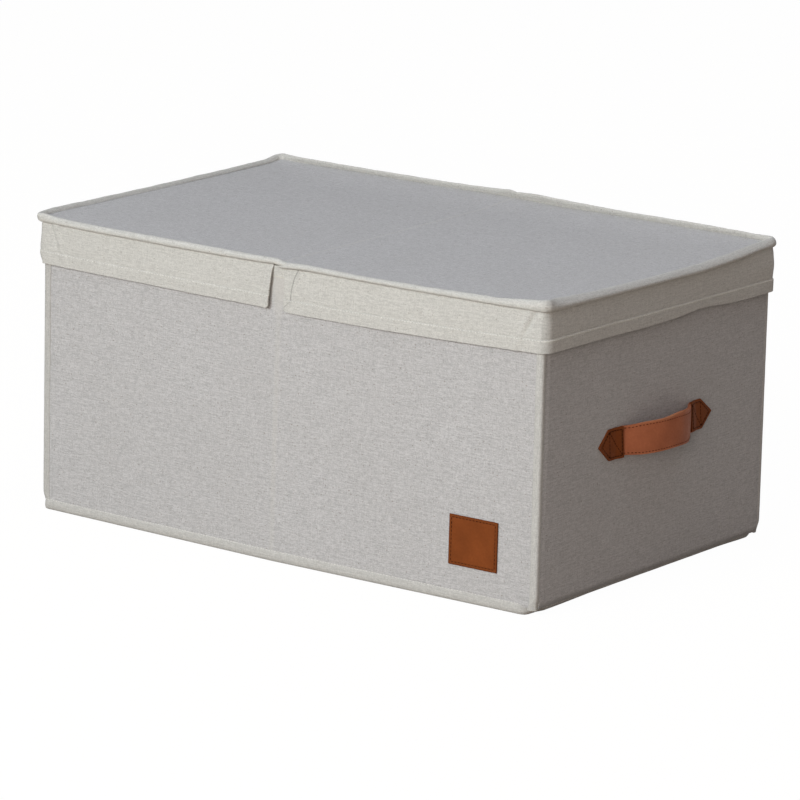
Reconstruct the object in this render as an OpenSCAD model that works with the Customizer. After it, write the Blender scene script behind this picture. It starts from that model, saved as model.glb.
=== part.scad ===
// Fabric storage box with a lift-off lid that folds in half along its centre seam.
// Stiff boards are sewn into canvas walls, two leather straps carry it,
// and a loose covered panel lies on the floor inside.
// Millimetres. Origin: centre of the underside. +X along the front, -Y is the front, +Z up.

/* [Box] */
// Length over the end walls
body_l = 600; // [450:1:760]
// Depth over the front and back walls
body_d = 380; // [300:1:500]
// Height of the rim above the table
body_h = 290; // [220:1:360]
// Where the walls and floor are creased, from the middle, along the length
crease_x = -8; // [-40:1:40]
// Gap between two boards at a crease
crease_gap = 3; // [2:0.5:6]

/* [Walls] */
// Thickness of the outer canvas
cover_t = 0.8; // [0.5:0.1:1.5]
// Thickness of the stiffening boards
board_t = 3; // [2:0.5:5]
// Thickness of the inner fabric
lining_t = 0.8; // [0.5:0.1:1.5]
// How far the round welt down each corner stands out from the wall
welt_proud = 0.6; // [0.2:0.1:0.8]

/* [Base] */
// Height of the bound seam that runs round the bottom
base_edge_h = 8.5; // [6:0.5:14]
// Corner radius of that seam
base_corner_r = 22; // [12:1:40]
// Thickness of the canvas underneath
base_cover_t = 1; // [0.5:0.1:1.5]
// Thickness of the floor boards
base_board_t = 3; // [2:0.5:4]

/* [Rim] */
// Height of the binding folded over the rim
rim_h = 11.5; // [8:0.5:20]
// Thickness of the binding
rim_t = 0.8; // [0.5:0.1:1.5]

/* [Loose floor panel] */
// Thickness of the board in the panel
panel_board_t = 2.5; // [1.5:0.5:5]
// Thickness of the fabric round it
panel_cover_t = 0.8; // [0.5:0.1:1.5]
// Clearance between the panel and the lining, each side
panel_clear = 2; // [1:0.5:5]

/* [Lid] */
// Thickness of the lid boards
lid_board_t = 3; // [2:0.5:5]
// Thickness of the canvas on top of the lid
lid_top_t = 0.8; // [0.5:0.1:1.5]
// Thickness of the fabric under the lid
lid_lining_t = 0.8; // [0.5:0.1:1.5]
// Width of the canvas strip between the two lid halves
fold_w = 12; // [9:0.5:24]
// Clearance between the lid and the rim
lid_seat_clear = 0.3; // [0.2:0.1:1]

/* [Lid skirt] */
// Height of the skirt below the piping
skirt_h = 40; // [25:1:60]
// Thickness of the doubled skirt canvas
skirt_t = 1.6; // [1:0.1:3]
// Clearance between the skirt and the rim binding
skirt_clear = 0.3; // [0.3:0.1:2]
// Where the left skirt ends at the middle of the front and back
skirt_gap_from = -17.5; // [-40:0.5:-7]
// Where the right skirt starts there
skirt_gap_to = 1.5; // [1:0.5:40]

/* [Lid piping] */
// Height of the piping
piping_h = 8; // [6:0.5:12]
// Thickness of the piping
piping_t = 4.2; // [3:0.1:6]

/* [Handles] */
// Height of the strap's centreline above the table
handle_z = 146; // [110:1:180]
// Width of the strap
strap_w = 32; // [22:1:45]
// Thickness of the strap
strap_t = 3; // [2:0.5:4]
// Length of the strap's arch, between the two end tabs
strap_span = 118; // [100:1:150]
// How far the arch stands out from the wall
strap_rise = 21; // [18:1:35]
// Half length of the part of the arch that tilts
strap_swing_half = 42; // [30:1:44]
// Gap between the tilting part and the sewn ends
strap_swing_clear = 0.3; // [0.2:0.1:1]
// Length of an end tab to its point
tab_l = 37; // [28:1:50]
// Length of an end tab to where its point begins
tab_shoulder = 22; // [14:1:26]
// Thickness of an end tab
tab_t = 2; // [1.5:0.5:3]

/* [Label] */
// Width of the leather patch on the front
label_w = 55; // [30:1:80]
// Height of the patch
label_h = 48.5; // [30:0.5:80]
// Thickness of the patch
label_t = 1.2; // [0.8:0.1:2]
// Distance from the patch to the right end wall
label_from_end = 45; // [20:1:120]
// Height of the patch above the table
label_from_table = 35.5; // [20:0.5:100]

/* [Hidden] */
$fn = 64;
ARCH_FN = 180;

LEFT = -1;
RIGHT = 1;
FRONT = -1;
BACK = 1;

GREY_CANVAS = [0.76, 0.76, 0.74];
CREAM_CANVAS = [0.85, 0.83, 0.77];
INNER_FABRIC = [0.88, 0.87, 0.84];
PRESSED_BOARD = [0.62, 0.56, 0.47];
STRAP_LEATHER = [0.62, 0.33, 0.2];
PATCH_LEATHER = [0.5, 0.25, 0.13];

// the outside of the walls
half_l = body_l / 2;
half_d = body_d / 2;

// depth of the square notch that the walls leave for a corner welt, which fills it
notch = cover_t + board_t;
wall_t = notch + lining_t;
welt_d = notch + welt_proud;
welt_inset = notch - welt_d / 2;

// the floor, from below: canvas, boards, inner fabric
floor_board_z = base_cover_t;
floor_lining_z = floor_board_z + base_board_t;
floor_z = floor_lining_z + lining_t;
base_inner_r = base_corner_r - notch;
cavity_r = base_inner_r - lining_t;
wall_top = body_h - rim_t;
binding_low = body_h - rim_h;

// the rim binding's outside, rounded about the middle of the welts below it
rim_half_l = half_l + rim_t;
rim_half_d = half_d + rim_t;
rim_corner_r = rim_t + welt_inset;

// the skirt, which slips over the rim binding
skirt_in_l = rim_half_l + skirt_clear;
skirt_in_d = rim_half_d + skirt_clear;
skirt_in_r = rim_corner_r + skirt_clear;

// the middle of the skirt's round corners, where the mitred seams between its walls start
skirt_seam_l = skirt_in_l - skirt_in_r;
skirt_seam_d = skirt_in_d - skirt_in_r;
skirt_seam_reach = skirt_in_r + skirt_t;

// the lid, from below: inner fabric, board, canvas
lid_z = body_h + lid_seat_clear;
lid_board_z = lid_z + lid_lining_t;
lid_top_z = lid_board_z + lid_board_t;
fold_z = lid_top_z + lid_top_t;
strip_t = lid_top_t + lid_lining_t;

// the loose floor panel
panel_z = floor_z + lid_seat_clear;
panel_half_l = half_l - wall_t - panel_clear;
panel_half_d = half_d - wall_t - panel_clear;
panel_r = max(cavity_r - panel_clear, 2 * panel_cover_t);

// the strap's arch: a circle through the tops of both tabs and the crown
arch_half = strap_span / 2;
arch_height = strap_rise - tab_t;
arch_r = (arch_half * arch_half + arch_height * arch_height) / (2 * arch_height);
arch_x = half_l + strap_rise - arch_r;

// a rectangle about the origin, given by half its sides, with round corners
module round_plan(hl, hd, r) {
    square([2 * (hl - r), 2 * hd], center = true);
    square([2 * hl, 2 * (hd - r)], center = true);
    for (sx = [-1, 1], sy = [-1, 1])
        translate([sx * (hl - r), sy * (hd - r)]) circle(r);
}

// a box given by its lowest and highest corners
module block(low, high) {
    translate(low) cube(high - low);
}

// the part of a plan that lies on one side of the lid's fold
module lid_side(side, from) {
    intersection() {
        children();
        translate([side > 0 ? from : -body_l + from, -body_d]) square([body_l, 2 * body_d]);
    }
}

// ---- base ----

module base_binding() {
    color(CREAM_CANVAS) linear_extrude(base_edge_h) difference() {
        round_plan(half_l, half_d, base_corner_r);
        round_plan(half_l - notch, half_d - notch, base_inner_r);
    }
}

module base_cover() {
    color(CREAM_CANVAS) linear_extrude(base_cover_t)
        round_plan(half_l - notch, half_d - notch, base_inner_r);
}

module base_board(side) {
    color(PRESSED_BOARD) translate([0, 0, floor_board_z]) linear_extrude(base_board_t)
        lid_side(side, crease_x + side * crease_gap / 2)
            round_plan(half_l - notch, half_d - notch, base_inner_r);
}

// ---- walls ----

module long_board(face, side) {
    y_out = half_d - cover_t;
    crease = crease_x + side * crease_gap / 2;
    x_end = side * (half_l - notch);
    color(PRESSED_BOARD) block(
        [min(crease, x_end), face > 0 ? y_out - board_t : -y_out, base_edge_h],
        [max(crease, x_end), face > 0 ? y_out : -y_out + board_t, wall_top]);
}

module end_board(side) {
    x_out = half_l - cover_t;
    color(PRESSED_BOARD) block(
        [side > 0 ? x_out - board_t : -x_out, -half_d + notch, base_edge_h],
        [side > 0 ? x_out : -x_out + board_t, half_d - notch, wall_top]);
}

module long_cover(face) {
    color(GREY_CANVAS) block(
        [-half_l + notch, face > 0 ? half_d - cover_t : -half_d, base_edge_h],
        [half_l - notch, face > 0 ? half_d : -half_d + cover_t, wall_top]);
}

module end_cover(side) {
    color(GREY_CANVAS) block(
        [side > 0 ? half_l - cover_t : -half_l, -half_d + notch, base_edge_h],
        [side > 0 ? half_l : -half_l + cover_t, half_d - notch, wall_top]);
}

module corner_welt(side, face) {
    color(CREAM_CANVAS)
        translate([side * (half_l - welt_inset), face * (half_d - welt_inset), base_edge_h])
            cylinder(d = welt_d, h = binding_low - base_edge_h);
}

module lining() {
    color(INNER_FABRIC) difference() {
        translate([0, 0, floor_lining_z]) linear_extrude(wall_top - floor_lining_z)
            round_plan(half_l - notch, half_d - notch, base_inner_r);
        translate([0, 0, floor_z]) linear_extrude(body_h)
            round_plan(half_l - wall_t, half_d - wall_t, cavity_r);
    }
}

// the wall's own plan, which the binding is folded over
module wall_plan() {
    difference() {
        square([body_l, body_d], center = true);
        round_plan(half_l - wall_t, half_d - wall_t, cavity_r);
        for (sx = [-1, 1], sy = [-1, 1])
            translate([sx * half_l, sy * half_d]) square(2 * notch, center = true);
    }
}

module rim_binding() {
    color(CREAM_CANVAS) difference() {
        translate([0, 0, binding_low]) linear_extrude(rim_h) difference() {
            round_plan(rim_half_l, rim_half_d, rim_corner_r);
            round_plan(half_l - wall_t - rim_t, half_d - wall_t - rim_t, cavity_r - rim_t);
        }
        linear_extrude(wall_top) wall_plan();
    }
}

module label_patch() {
    color(PATCH_LEATHER)
        translate([half_l - label_from_end - label_w, -half_d - label_t, label_from_table])
            cube([label_w, label_t, label_h]);
}

// ---- handles ----

// puts a shape made for the right end's back half at any end and half of the box
module at_end(out, along) {
    mirror([out < 0 ? 1 : 0, 0, 0]) mirror([0, along < 0 ? 1 : 0, 0]) children();
}

// a pointed tab on the wall: out is the end of the box, along is its end of the strap
module handle_tab(out, along) {
    color(PATCH_LEATHER) at_end(out, along) translate([half_l, arch_half, handle_z])
        rotate([90, 0, 90]) linear_extrude(tab_t) polygon([
            [0, -strap_w / 2],
            [tab_shoulder, -strap_w / 2],
            [tab_l, 0],
            [tab_shoulder, strap_w / 2],
            [0, strap_w / 2]
        ]);
}

// the strap's arch seen from above, between two distances from its middle
module arch_plan(y_from, y_to) {
    intersection() {
        translate([arch_x, 0]) difference() {
            circle(arch_r, $fn = ARCH_FN);
            circle(arch_r - strap_t, $fn = ARCH_FN);
        }
        translate([half_l, y_from]) square([arch_r, y_to - y_from]);
    }
}

module handle_strap_ends(out) {
    color(STRAP_LEATHER) for (along = [-1, 1])
        at_end(out, along) translate([0, 0, handle_z - strap_w / 2]) linear_extrude(strap_w)
            arch_plan(strap_swing_half + strap_swing_clear, arch_half);
}

module handle_strap(out) {
    color(STRAP_LEATHER) at_end(out, 1) translate([0, 0, handle_z - strap_w / 2])
        linear_extrude(strap_w) arch_plan(-strap_swing_half, strap_swing_half);
}

// ---- loose floor panel ----

module floor_panel_board() {
    color(PRESSED_BOARD) translate([0, 0, panel_z + panel_cover_t])
        linear_extrude(panel_board_t)
            round_plan(panel_half_l - panel_cover_t, panel_half_d - panel_cover_t,
                       panel_r - panel_cover_t);
}

module floor_panel_cover() {
    color(INNER_FABRIC) difference() {
        translate([0, 0, panel_z]) linear_extrude(panel_board_t + 2 * panel_cover_t)
            round_plan(panel_half_l, panel_half_d, panel_r);
        floor_panel_board();
    }
}

// ---- lid ----

module lid_sheet(side, low, thick) {
    translate([0, 0, low]) linear_extrude(thick)
        lid_side(side, side * fold_w / 2) round_plan(skirt_in_l, skirt_in_d, skirt_in_r);
}

module lid_board(side) {
    color(PRESSED_BOARD) lid_sheet(side, lid_board_z, lid_board_t);
}

module lid_top(side) {
    color(GREY_CANVAS) lid_sheet(side, lid_top_z, lid_top_t);
}

module lid_lining(side) {
    color(INNER_FABRIC) lid_sheet(side, lid_z, lid_lining_t);
}

module lid_piping(side) {
    color(CREAM_CANVAS) translate([0, 0, lid_z]) linear_extrude(piping_h)
        lid_side(side, side * fold_w / 2) difference() {
            round_plan(skirt_in_l + piping_t, skirt_in_d + piping_t, skirt_in_r + piping_t);
            round_plan(skirt_in_l, skirt_in_d, skirt_in_r);
        }
}

// the part of a lid half's skirt that lies inside a plan, drawn for the back right
module lid_skirt_wall(side, face) {
    color(CREAM_CANVAS) at_end(side, face) translate([0, 0, lid_z - skirt_h])
        linear_extrude(skirt_h) intersection() {
            difference() {
                round_plan(skirt_in_l + skirt_t, skirt_in_d + skirt_t, skirt_in_r + skirt_t);
                round_plan(skirt_in_l, skirt_in_d, skirt_in_r);
            }
            children();
        }
}

module lid_skirt_long(side, face) {
    free_end = side > 0 ? skirt_gap_to : -skirt_gap_from;
    lid_skirt_wall(side, face) polygon([
        [free_end, skirt_seam_d],
        [skirt_seam_l, skirt_seam_d],
        [skirt_seam_l + skirt_seam_reach, skirt_seam_d + skirt_seam_reach],
        [free_end, skirt_seam_d + skirt_seam_reach]
    ]);
}

module lid_skirt_end(side) {
    lid_skirt_wall(side, BACK) polygon([
        [skirt_seam_l, -skirt_seam_d],
        [skirt_seam_l + skirt_seam_reach, -skirt_seam_d - skirt_seam_reach],
        [skirt_seam_l + skirt_seam_reach, skirt_seam_d + skirt_seam_reach],
        [skirt_seam_l, skirt_seam_d]
    ]);
}

module lid_centre_strip() {
    color(GREY_CANVAS) block(
        [-fold_w / 2, -skirt_in_d, fold_z - strip_t],
        [fold_w / 2, skirt_in_d, fold_z]);
}

base_binding();
base_cover();
base_board(LEFT);  // base_board_left
base_board(RIGHT);  // base_board_right
long_board(FRONT, LEFT);  // front_board_left
long_board(FRONT, RIGHT);  // front_board_right
long_board(BACK, LEFT);  // back_board_left
long_board(BACK, RIGHT);  // back_board_right
end_board(LEFT);  // left_end_board
end_board(RIGHT);  // right_end_board
long_cover(FRONT);  // front_cover
long_cover(BACK);  // back_cover
end_cover(LEFT);  // left_end_cover
end_cover(RIGHT);  // right_end_cover
corner_welt(LEFT, FRONT);  // corner_welt_front_left
corner_welt(RIGHT, FRONT);  // corner_welt_front_right
corner_welt(LEFT, BACK);  // corner_welt_back_left
corner_welt(RIGHT, BACK);  // corner_welt_back_right
lining();
rim_binding();
label_patch();
handle_tab(LEFT, FRONT);  // left_handle_tab_front
handle_tab(LEFT, BACK);  // left_handle_tab_back
handle_strap_ends(LEFT);  // left_handle_strap_ends
handle_strap(LEFT);  // left_handle_strap
handle_tab(RIGHT, FRONT);  // right_handle_tab_front
handle_tab(RIGHT, BACK);  // right_handle_tab_back
handle_strap_ends(RIGHT);  // right_handle_strap_ends
handle_strap(RIGHT);  // right_handle_strap
floor_panel_board();
floor_panel_cover();
lid_centre_strip();
lid_board(LEFT);  // lid_left_board
lid_top(LEFT);  // lid_left_top
lid_lining(LEFT);  // lid_left_lining
lid_piping(LEFT);  // lid_left_piping
lid_skirt_long(LEFT, FRONT);  // lid_left_skirt_front
lid_skirt_end(LEFT);  // lid_left_skirt_end
lid_skirt_long(LEFT, BACK);  // lid_left_skirt_back
lid_board(RIGHT);  // lid_right_board
lid_top(RIGHT);  // lid_right_top
lid_lining(RIGHT);  // lid_right_lining
lid_piping(RIGHT);  // lid_right_piping
lid_skirt_long(RIGHT, FRONT);  // lid_right_skirt_front
lid_skirt_end(RIGHT);  // lid_right_skirt_end
lid_skirt_long(RIGHT, BACK);  // lid_right_skirt_back
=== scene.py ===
"""Looks of a lidded fabric storage box, made round its construction frame.

The covers, the lining, the rim tape and the lid's skirts are sheets of cloth over stiff boards, the bottom
seam, the corner welts and the piping are filled canvas, the straps and the patch are stitched leather, and
every seam has its thread. Lengths are metres.
"""

import math

import bpy
import numpy as np
from bpy.props import FloatProperty, FloatVectorProperty, PointerProperty
from mathutils import Euler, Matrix, Quaternion, Vector, noise


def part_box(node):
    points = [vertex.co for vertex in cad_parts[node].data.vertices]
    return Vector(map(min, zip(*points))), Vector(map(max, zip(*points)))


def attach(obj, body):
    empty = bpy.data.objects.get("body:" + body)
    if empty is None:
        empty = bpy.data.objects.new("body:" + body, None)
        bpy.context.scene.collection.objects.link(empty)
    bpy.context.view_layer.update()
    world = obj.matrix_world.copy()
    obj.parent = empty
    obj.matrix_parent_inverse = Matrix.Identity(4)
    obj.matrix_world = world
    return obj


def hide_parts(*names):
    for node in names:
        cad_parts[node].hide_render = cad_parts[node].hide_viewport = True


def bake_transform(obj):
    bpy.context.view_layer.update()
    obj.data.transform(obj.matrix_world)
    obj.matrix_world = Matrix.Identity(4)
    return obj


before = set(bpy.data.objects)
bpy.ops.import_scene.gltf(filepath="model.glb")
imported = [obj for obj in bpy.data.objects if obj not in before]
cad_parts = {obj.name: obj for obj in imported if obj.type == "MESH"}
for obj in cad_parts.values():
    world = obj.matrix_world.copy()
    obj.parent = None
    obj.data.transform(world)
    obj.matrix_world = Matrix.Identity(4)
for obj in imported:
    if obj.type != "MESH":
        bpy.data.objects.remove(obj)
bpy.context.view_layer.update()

bl_info = {
    "name": "Lidded fabric storage box",
    "version": (1, 0, 0),
    "blender": (4, 5, 0),
    "location": "View3D > Sidebar > Storage box",
    "description": "Makes the cloth, leather and thread of a storage box with a folding lid",
    "category": "Object",
}

MM = 0.001
LEFT, RIGHT = -1, 1
FRONT, BACK = -1, 1
SIDE_NAMES = {LEFT: "left", RIGHT: "right"}
FACE_NAMES = {FRONT: "front", BACK: "back"}

# ---- sizes taken from the frame ----

HALF_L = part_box("right_end_cover")[1].x
HALF_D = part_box("back_cover")[1].y
WALL_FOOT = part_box("front_cover")[0].z
WALL_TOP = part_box("front_cover")[1].z
WALL_EDGE_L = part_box("front_cover")[1].x
WALL_EDGE_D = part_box("right_end_cover")[1].y
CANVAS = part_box("back_cover")[1].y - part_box("back_cover")[0].y
RIM_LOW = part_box("rim_binding")[0].z
RIM_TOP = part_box("rim_binding")[1].z
RIM_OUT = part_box("rim_binding")[1].x - HALF_L
NOTCH = HALF_L - WALL_EDGE_L
FLOOR_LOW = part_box("lining")[0].z
LID_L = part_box("lid_right_top")[1].x
LID_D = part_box("lid_right_top")[1].y
LID_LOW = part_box("lid_right_lining")[0].z
LID_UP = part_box("lid_right_top")[1].z
FOLD_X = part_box("lid_centre_strip")[1].x
PIPING_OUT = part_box("lid_right_piping")[1].x - LID_L
SKIRT_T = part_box("lid_right_skirt_end")[1].x - LID_L
STRAP_Z = sum(corner.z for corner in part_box("right_handle_strap")) / 2
STRAP_HALF_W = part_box("right_handle_strap")[1].z - STRAP_Z
STRAP_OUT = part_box("right_handle_strap")[1].x
TAB_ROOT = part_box("right_handle_tab_back")[0].y
TAB_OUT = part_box("right_handle_tab_back")[1].x

# the round corners of the bottom and of the lining, the lining's thickness, and where the long walls crease
BASE_RADIUS = 22 * MM
LINING_RADIUS = 17.4 * MM
LINING = 0.8 * MM
WALL_T = NOTCH + LINING
CREASE_X = -8 * MM
# columns along a long side, along a short side and round a corner, where a loop runs right round the box
LOOP_COUNTS = (150, 96)


# ---- what a user would change ----

class FabricSettings(bpy.types.PropertyGroup):
    grey: FloatVectorProperty(
        name="Grey canvas", description="Colour of the slubby canvas on the walls and the lid",
        subtype="COLOR", size=3, min=0, max=1, default=(0.480, 0.477, 0.474))
    cream: FloatVectorProperty(
        name="Cream canvas", description="Colour of the skirt, the piping and the rim tape",
        subtype="COLOR", size=3, min=0, max=1, default=(0.547, 0.543, 0.508))
    binding: FloatVectorProperty(
        name="Binding canvas", description="Colour of the seams at the corners and round the bottom",
        subtype="COLOR", size=3, min=0, max=1, default=(0.505, 0.502, 0.476))
    inner: FloatVectorProperty(
        name="Inner fabric", description="Colour of the thin lining",
        subtype="COLOR", size=3, min=0, max=1, default=(0.66, 0.65, 0.61))
    slub: FloatProperty(
        name="Slub", description="How strongly thick yarns show in the grey canvas",
        min=0, max=1, default=0.5)
    thread_pitch: FloatProperty(
        name="Thread pitch", description="Distance between two yarns of the canvas",
        subtype="DISTANCE", min=0.0004, max=0.002, default=0.00085)
    stitch_pitch: FloatProperty(
        name="Stitch pitch", description="Distance from one stitch to the next in the cloth",
        subtype="DISTANCE", min=0.002, max=0.006, default=0.0034)


class LeatherSettings(bpy.types.PropertyGroup):
    strap: FloatVectorProperty(
        name="Strap leather", description="Colour of the two straps",
        subtype="COLOR", size=3, min=0, max=1, default=(0.452, 0.149, 0.071))
    patch: FloatVectorProperty(
        name="Patch leather", description="Colour of the patch and the tabs",
        subtype="COLOR", size=3, min=0, max=1, default=(0.205, 0.055, 0.014))
    stitch_pitch: FloatProperty(
        name="Stitch pitch", description="Distance from one stitch to the next in the leather",
        subtype="DISTANCE", min=0.002, max=0.006, default=0.0038)


class LidSettings(bpy.types.PropertyGroup):
    warp: FloatProperty(
        name="Warp", description="How much of its used, uneven shape the lid's edge takes",
        min=0, max=1, default=1)
    overhang: FloatProperty(
        name="Overhang", description="How far the lid sits over to the left",
        subtype="DISTANCE", min=0, max=0.006, default=0.0035)
    skirt_flare: FloatProperty(
        name="Skirt flare", description="How far the skirt's lower edge stands off the wall",
        subtype="DISTANCE", min=0, max=0.004, default=0.0009)
    hem: FloatProperty(
        name="Hem", description="Height of the skirt's stitched hem",
        subtype="DISTANCE", min=0.006, max=0.02, default=0.0115)


class StageSettings(bpy.types.PropertyGroup):
    key: FloatProperty(
        name="Key light", description="Strength of the broad light at the front left",
        min=0, max=20, default=2.0)
    top: FloatProperty(
        name="Top light", description="Strength of the light overhead", min=0, max=20, default=1.0)
    side: FloatProperty(
        name="Side light", description="Strength of the faint light at the front right",
        min=0, max=20, default=0.80)
    fill: FloatProperty(
        name="Fill", description="Strength of the even light from all round", min=0, max=2, default=0.26)


# ---- meshes ----

def clear_selection():
    """Deselects everything, so that an operator acts on new pieces alone."""
    if bpy.context.object and bpy.context.object.mode != "OBJECT":
        bpy.ops.object.mode_set(mode="OBJECT")
    bpy.ops.object.select_all(action="DESELECT")


def pick(piece):
    """Makes a piece the one that operators act on."""
    clear_selection()
    piece.select_set(True)
    bpy.context.view_layer.objects.active = piece


def read_points(piece):
    points = np.empty(len(piece.data.vertices) * 3)
    piece.data.vertices.foreach_get("co", points)
    return points.reshape(-1, 3)


def write_points(piece, points):
    piece.data.vertices.foreach_set("co", np.asarray(points, float).ravel())
    piece.data.update()


def apply_modifier(piece, kind, **settings):
    """Adds a modifier and applies it."""
    pick(piece)
    modifier = piece.modifiers.new(kind.title(), kind)
    for setting, value in settings.items():
        setattr(modifier, setting, value)
    bpy.ops.object.modifier_apply(modifier=modifier.name)


def face_outward(piece):
    """Turns the faces of a closed piece outward."""
    pick(piece)
    bpy.ops.object.mode_set(mode="EDIT")
    bpy.ops.mesh.select_all(action="SELECT")
    bpy.ops.mesh.normals_make_consistent(inside=False)
    bpy.ops.object.mode_set(mode="OBJECT")


def lengths(line):
    """The distance along a line of points, from its first point to each."""
    return np.concatenate([[0], np.cumsum(np.linalg.norm(np.diff(line, axis=0), axis=1))])


def lay(name, points, thickness=0.0, closed=False, cover_ends=False):
    """A grid of cloth through points[column, row], with its UV map in metres.

    closed joins the first column or row to the last where they meet, and cover_ends closes what is open.
    """
    columns, rows = points.shape[:2]
    clear_selection()
    bpy.ops.mesh.primitive_grid_add(x_subdivisions=columns - 1, y_subdivisions=rows - 1, size=1)
    piece = bpy.context.object
    piece.name = piece.data.name = name
    start = read_points(piece)
    column = np.rint((start[:, 0] + 0.5) * (columns - 1)).astype(int)
    row = np.rint((start[:, 1] + 0.5) * (rows - 1)).astype(int)
    write_points(piece, points[column, row])
    along = lengths(points[:, rows // 2])
    across = lengths(points[columns // 2])
    corner = np.empty(len(piece.data.loops), int)
    piece.data.loops.foreach_get("vertex_index", corner)
    uv = np.stack([along[column[corner]], across[row[corner]]], axis=1)
    piece.data.uv_layers[0].data.foreach_set("uv", uv.ravel())
    bpy.ops.object.mode_set(mode="EDIT")
    bpy.ops.mesh.select_all(action="SELECT")
    if closed:
        bpy.ops.mesh.remove_doubles(threshold=0.01 * MM)
    if cover_ends:
        bpy.ops.mesh.fill_holes(sides=0)
    bpy.ops.object.mode_set(mode="OBJECT")
    if thickness:
        apply_modifier(piece, "SOLIDIFY", thickness=thickness, offset=0, use_even_offset=True)
    if thickness or cover_ends:
        face_outward(piece)
    return piece


def block(name, low, high, radius, segments, is_round):
    """A flat block between two corners, with those of its uprights rounded where is_round(x) holds."""
    clear_selection()
    bpy.ops.mesh.primitive_cube_add(size=1, location=[(a + b) / 2 for a, b in zip(low, high)])
    piece = bpy.context.object
    piece.name = piece.data.name = name
    piece.scale = [b - a for a, b in zip(low, high)]
    bpy.ops.object.transform_apply(location=True, scale=True)
    bpy.ops.object.mode_set(mode="EDIT")
    bpy.ops.mesh.select_mode(type="EDGE")
    bpy.ops.mesh.select_all(action="DESELECT")
    bpy.ops.object.mode_set(mode="OBJECT")
    for edge in piece.data.edges:
        a, b = (piece.data.vertices[i].co for i in edge.vertices)
        edge.select = abs(a.z - b.z) > 0.5 * (high[2] - low[2]) and is_round(a.x)
    bpy.ops.object.mode_set(mode="EDIT")
    bpy.ops.mesh.bevel(offset=radius, segments=segments, affect="EDGES")
    bpy.ops.object.mode_set(mode="OBJECT")
    return piece


def burnish(piece, width):
    """Rounds the cut edges of a leather piece a little."""
    apply_modifier(piece, "BEVEL", width=width, segments=2, limit_method="ANGLE",
                   angle_limit=math.radians(60))


def dress(piece, finish, body, nodes=(), sharp=50):
    """Gives a piece its finish, rounds its shading, and seats it on a body."""
    pick(piece)
    bpy.ops.object.shade_smooth_by_angle(angle=math.radians(sharp))
    piece.data.materials.clear()
    piece.data.materials.append(FINISHES[finish])
    if nodes:
        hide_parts(*nodes)
    if body:
        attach(piece, body)
    return piece


def sew(name, lines, pitch, finish, body, width=0.6 * MM, share=0.72):
    """Rows of stitches: one thread is modelled, repeated, and each copy is laid along the lines.

    lines holds pairs of arrays: the points that a row follows, and the surface's outward direction there.
    """
    centres, along, outward = [], [], []
    for line, normal in lines:
        run = lengths(line)
        count = max(1, round(run[-1] / pitch))
        at = (np.arange(count) + 0.5) * run[-1] / count
        spots = [np.stack([np.interp(at + shift, run, line[:, axis]) for axis in range(3)], axis=1)
                 for shift in (0, -pitch / 3, pitch / 3)]
        centres.append(spots[0])
        along.append(spots[2] - spots[1])
        outward.append(np.stack([np.interp(at, run, normal[:, axis]) for axis in range(3)], axis=1))
    centres, along, outward = (np.concatenate(x) for x in (centres, along, outward))
    along /= np.linalg.norm(along, axis=1, keepdims=True)
    outward /= np.linalg.norm(outward, axis=1, keepdims=True)
    side = np.cross(outward, along)
    clear_selection()
    bpy.ops.mesh.primitive_uv_sphere_add(segments=6, ring_count=4, radius=0.5)
    piece = bpy.context.object
    piece.name = piece.data.name = name
    thread = read_points(piece)[:, [2, 1, 0]] * (pitch * share, width, 0.8 * width)
    apply_modifier(piece, "ARRAY", count=len(centres), relative_offset_displace=(1, 0, 0))
    points = (centres[:, None] + thread[:, :1] * along[:, None]
              + thread[:, 1:2] * side[:, None] + thread[:, 2:] * outward[:, None])
    write_points(piece, points.reshape(-1, 3))
    face_outward(piece)
    return dress(piece, finish, body, sharp=80)


def rumple(points, size, seed=0.0):
    """Smooth noise between -1 and 1 at each point, with folds about size long."""
    flat = (np.asarray(points) / size + seed).reshape(-1, 3)
    values = np.fromiter((noise.noise(p) for p in flat.tolist()), float, len(flat))
    return values.reshape(np.shape(points)[:-1])


def ease(value, low, high):
    """0 below low, 1 above high, and a smooth step between them."""
    share = np.clip((value - low) / (high - low), 0, 1)
    return share * share * (3 - 2 * share)


def hump(value, middle, width):
    """1 at the middle, falling smoothly to nothing a few widths from it."""
    return np.exp(-((value - middle) / width) ** 2)


def round_corners(x, y, low, high, radius):
    """Draws the corners of a flat grid in onto arcs; low and high are two corners of its rectangle."""
    over_x = np.maximum(x - (high[0] - radius), low[0] + radius - x).clip(0)
    over_y = np.maximum(y - (high[1] - radius), low[1] + radius - y).clip(0)
    reach = np.hypot(over_x, over_y)
    pull = np.where(reach > radius, 1 - radius / np.maximum(reach, 1e-9), 0)
    return (x - np.sign(x - (low[0] + high[0]) / 2) * over_x * pull,
            y - np.sign(y - (low[1] + high[1]) / 2) * over_y * pull)


def steps(stops, step):
    """Values from the first stop through to the last, no further apart than step."""
    parts = [np.linspace(a, b, max(1, math.ceil(abs(b - a) / step)), endpoint=False)
             for a, b in zip(stops, stops[1:])]
    return np.concatenate([*parts, [stops[-1]]])


def in_order(*parts):
    """The values of all parts, each once."""
    return np.unique(np.concatenate(parts).round(6))


def finer_at_ends(low, high, edge, fine, coarse, between=()):
    """Values from low to high, set close within an edge of both, with stops between."""
    return in_order(steps((low, low + edge), fine), steps((high - edge, high), fine),
                    steps((low + edge, *between, high - edge), coarse))


def bend_round(corner, start_angle, radius, count):
    """A quarter turn anticlockwise: its points and outward directions, without its last point."""
    angles = start_angle + np.linspace(0, math.pi / 2, count, endpoint=False)
    outward = np.stack([np.cos(angles), np.sin(angles)], axis=1)
    return np.array(corner) + radius * outward, outward


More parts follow.
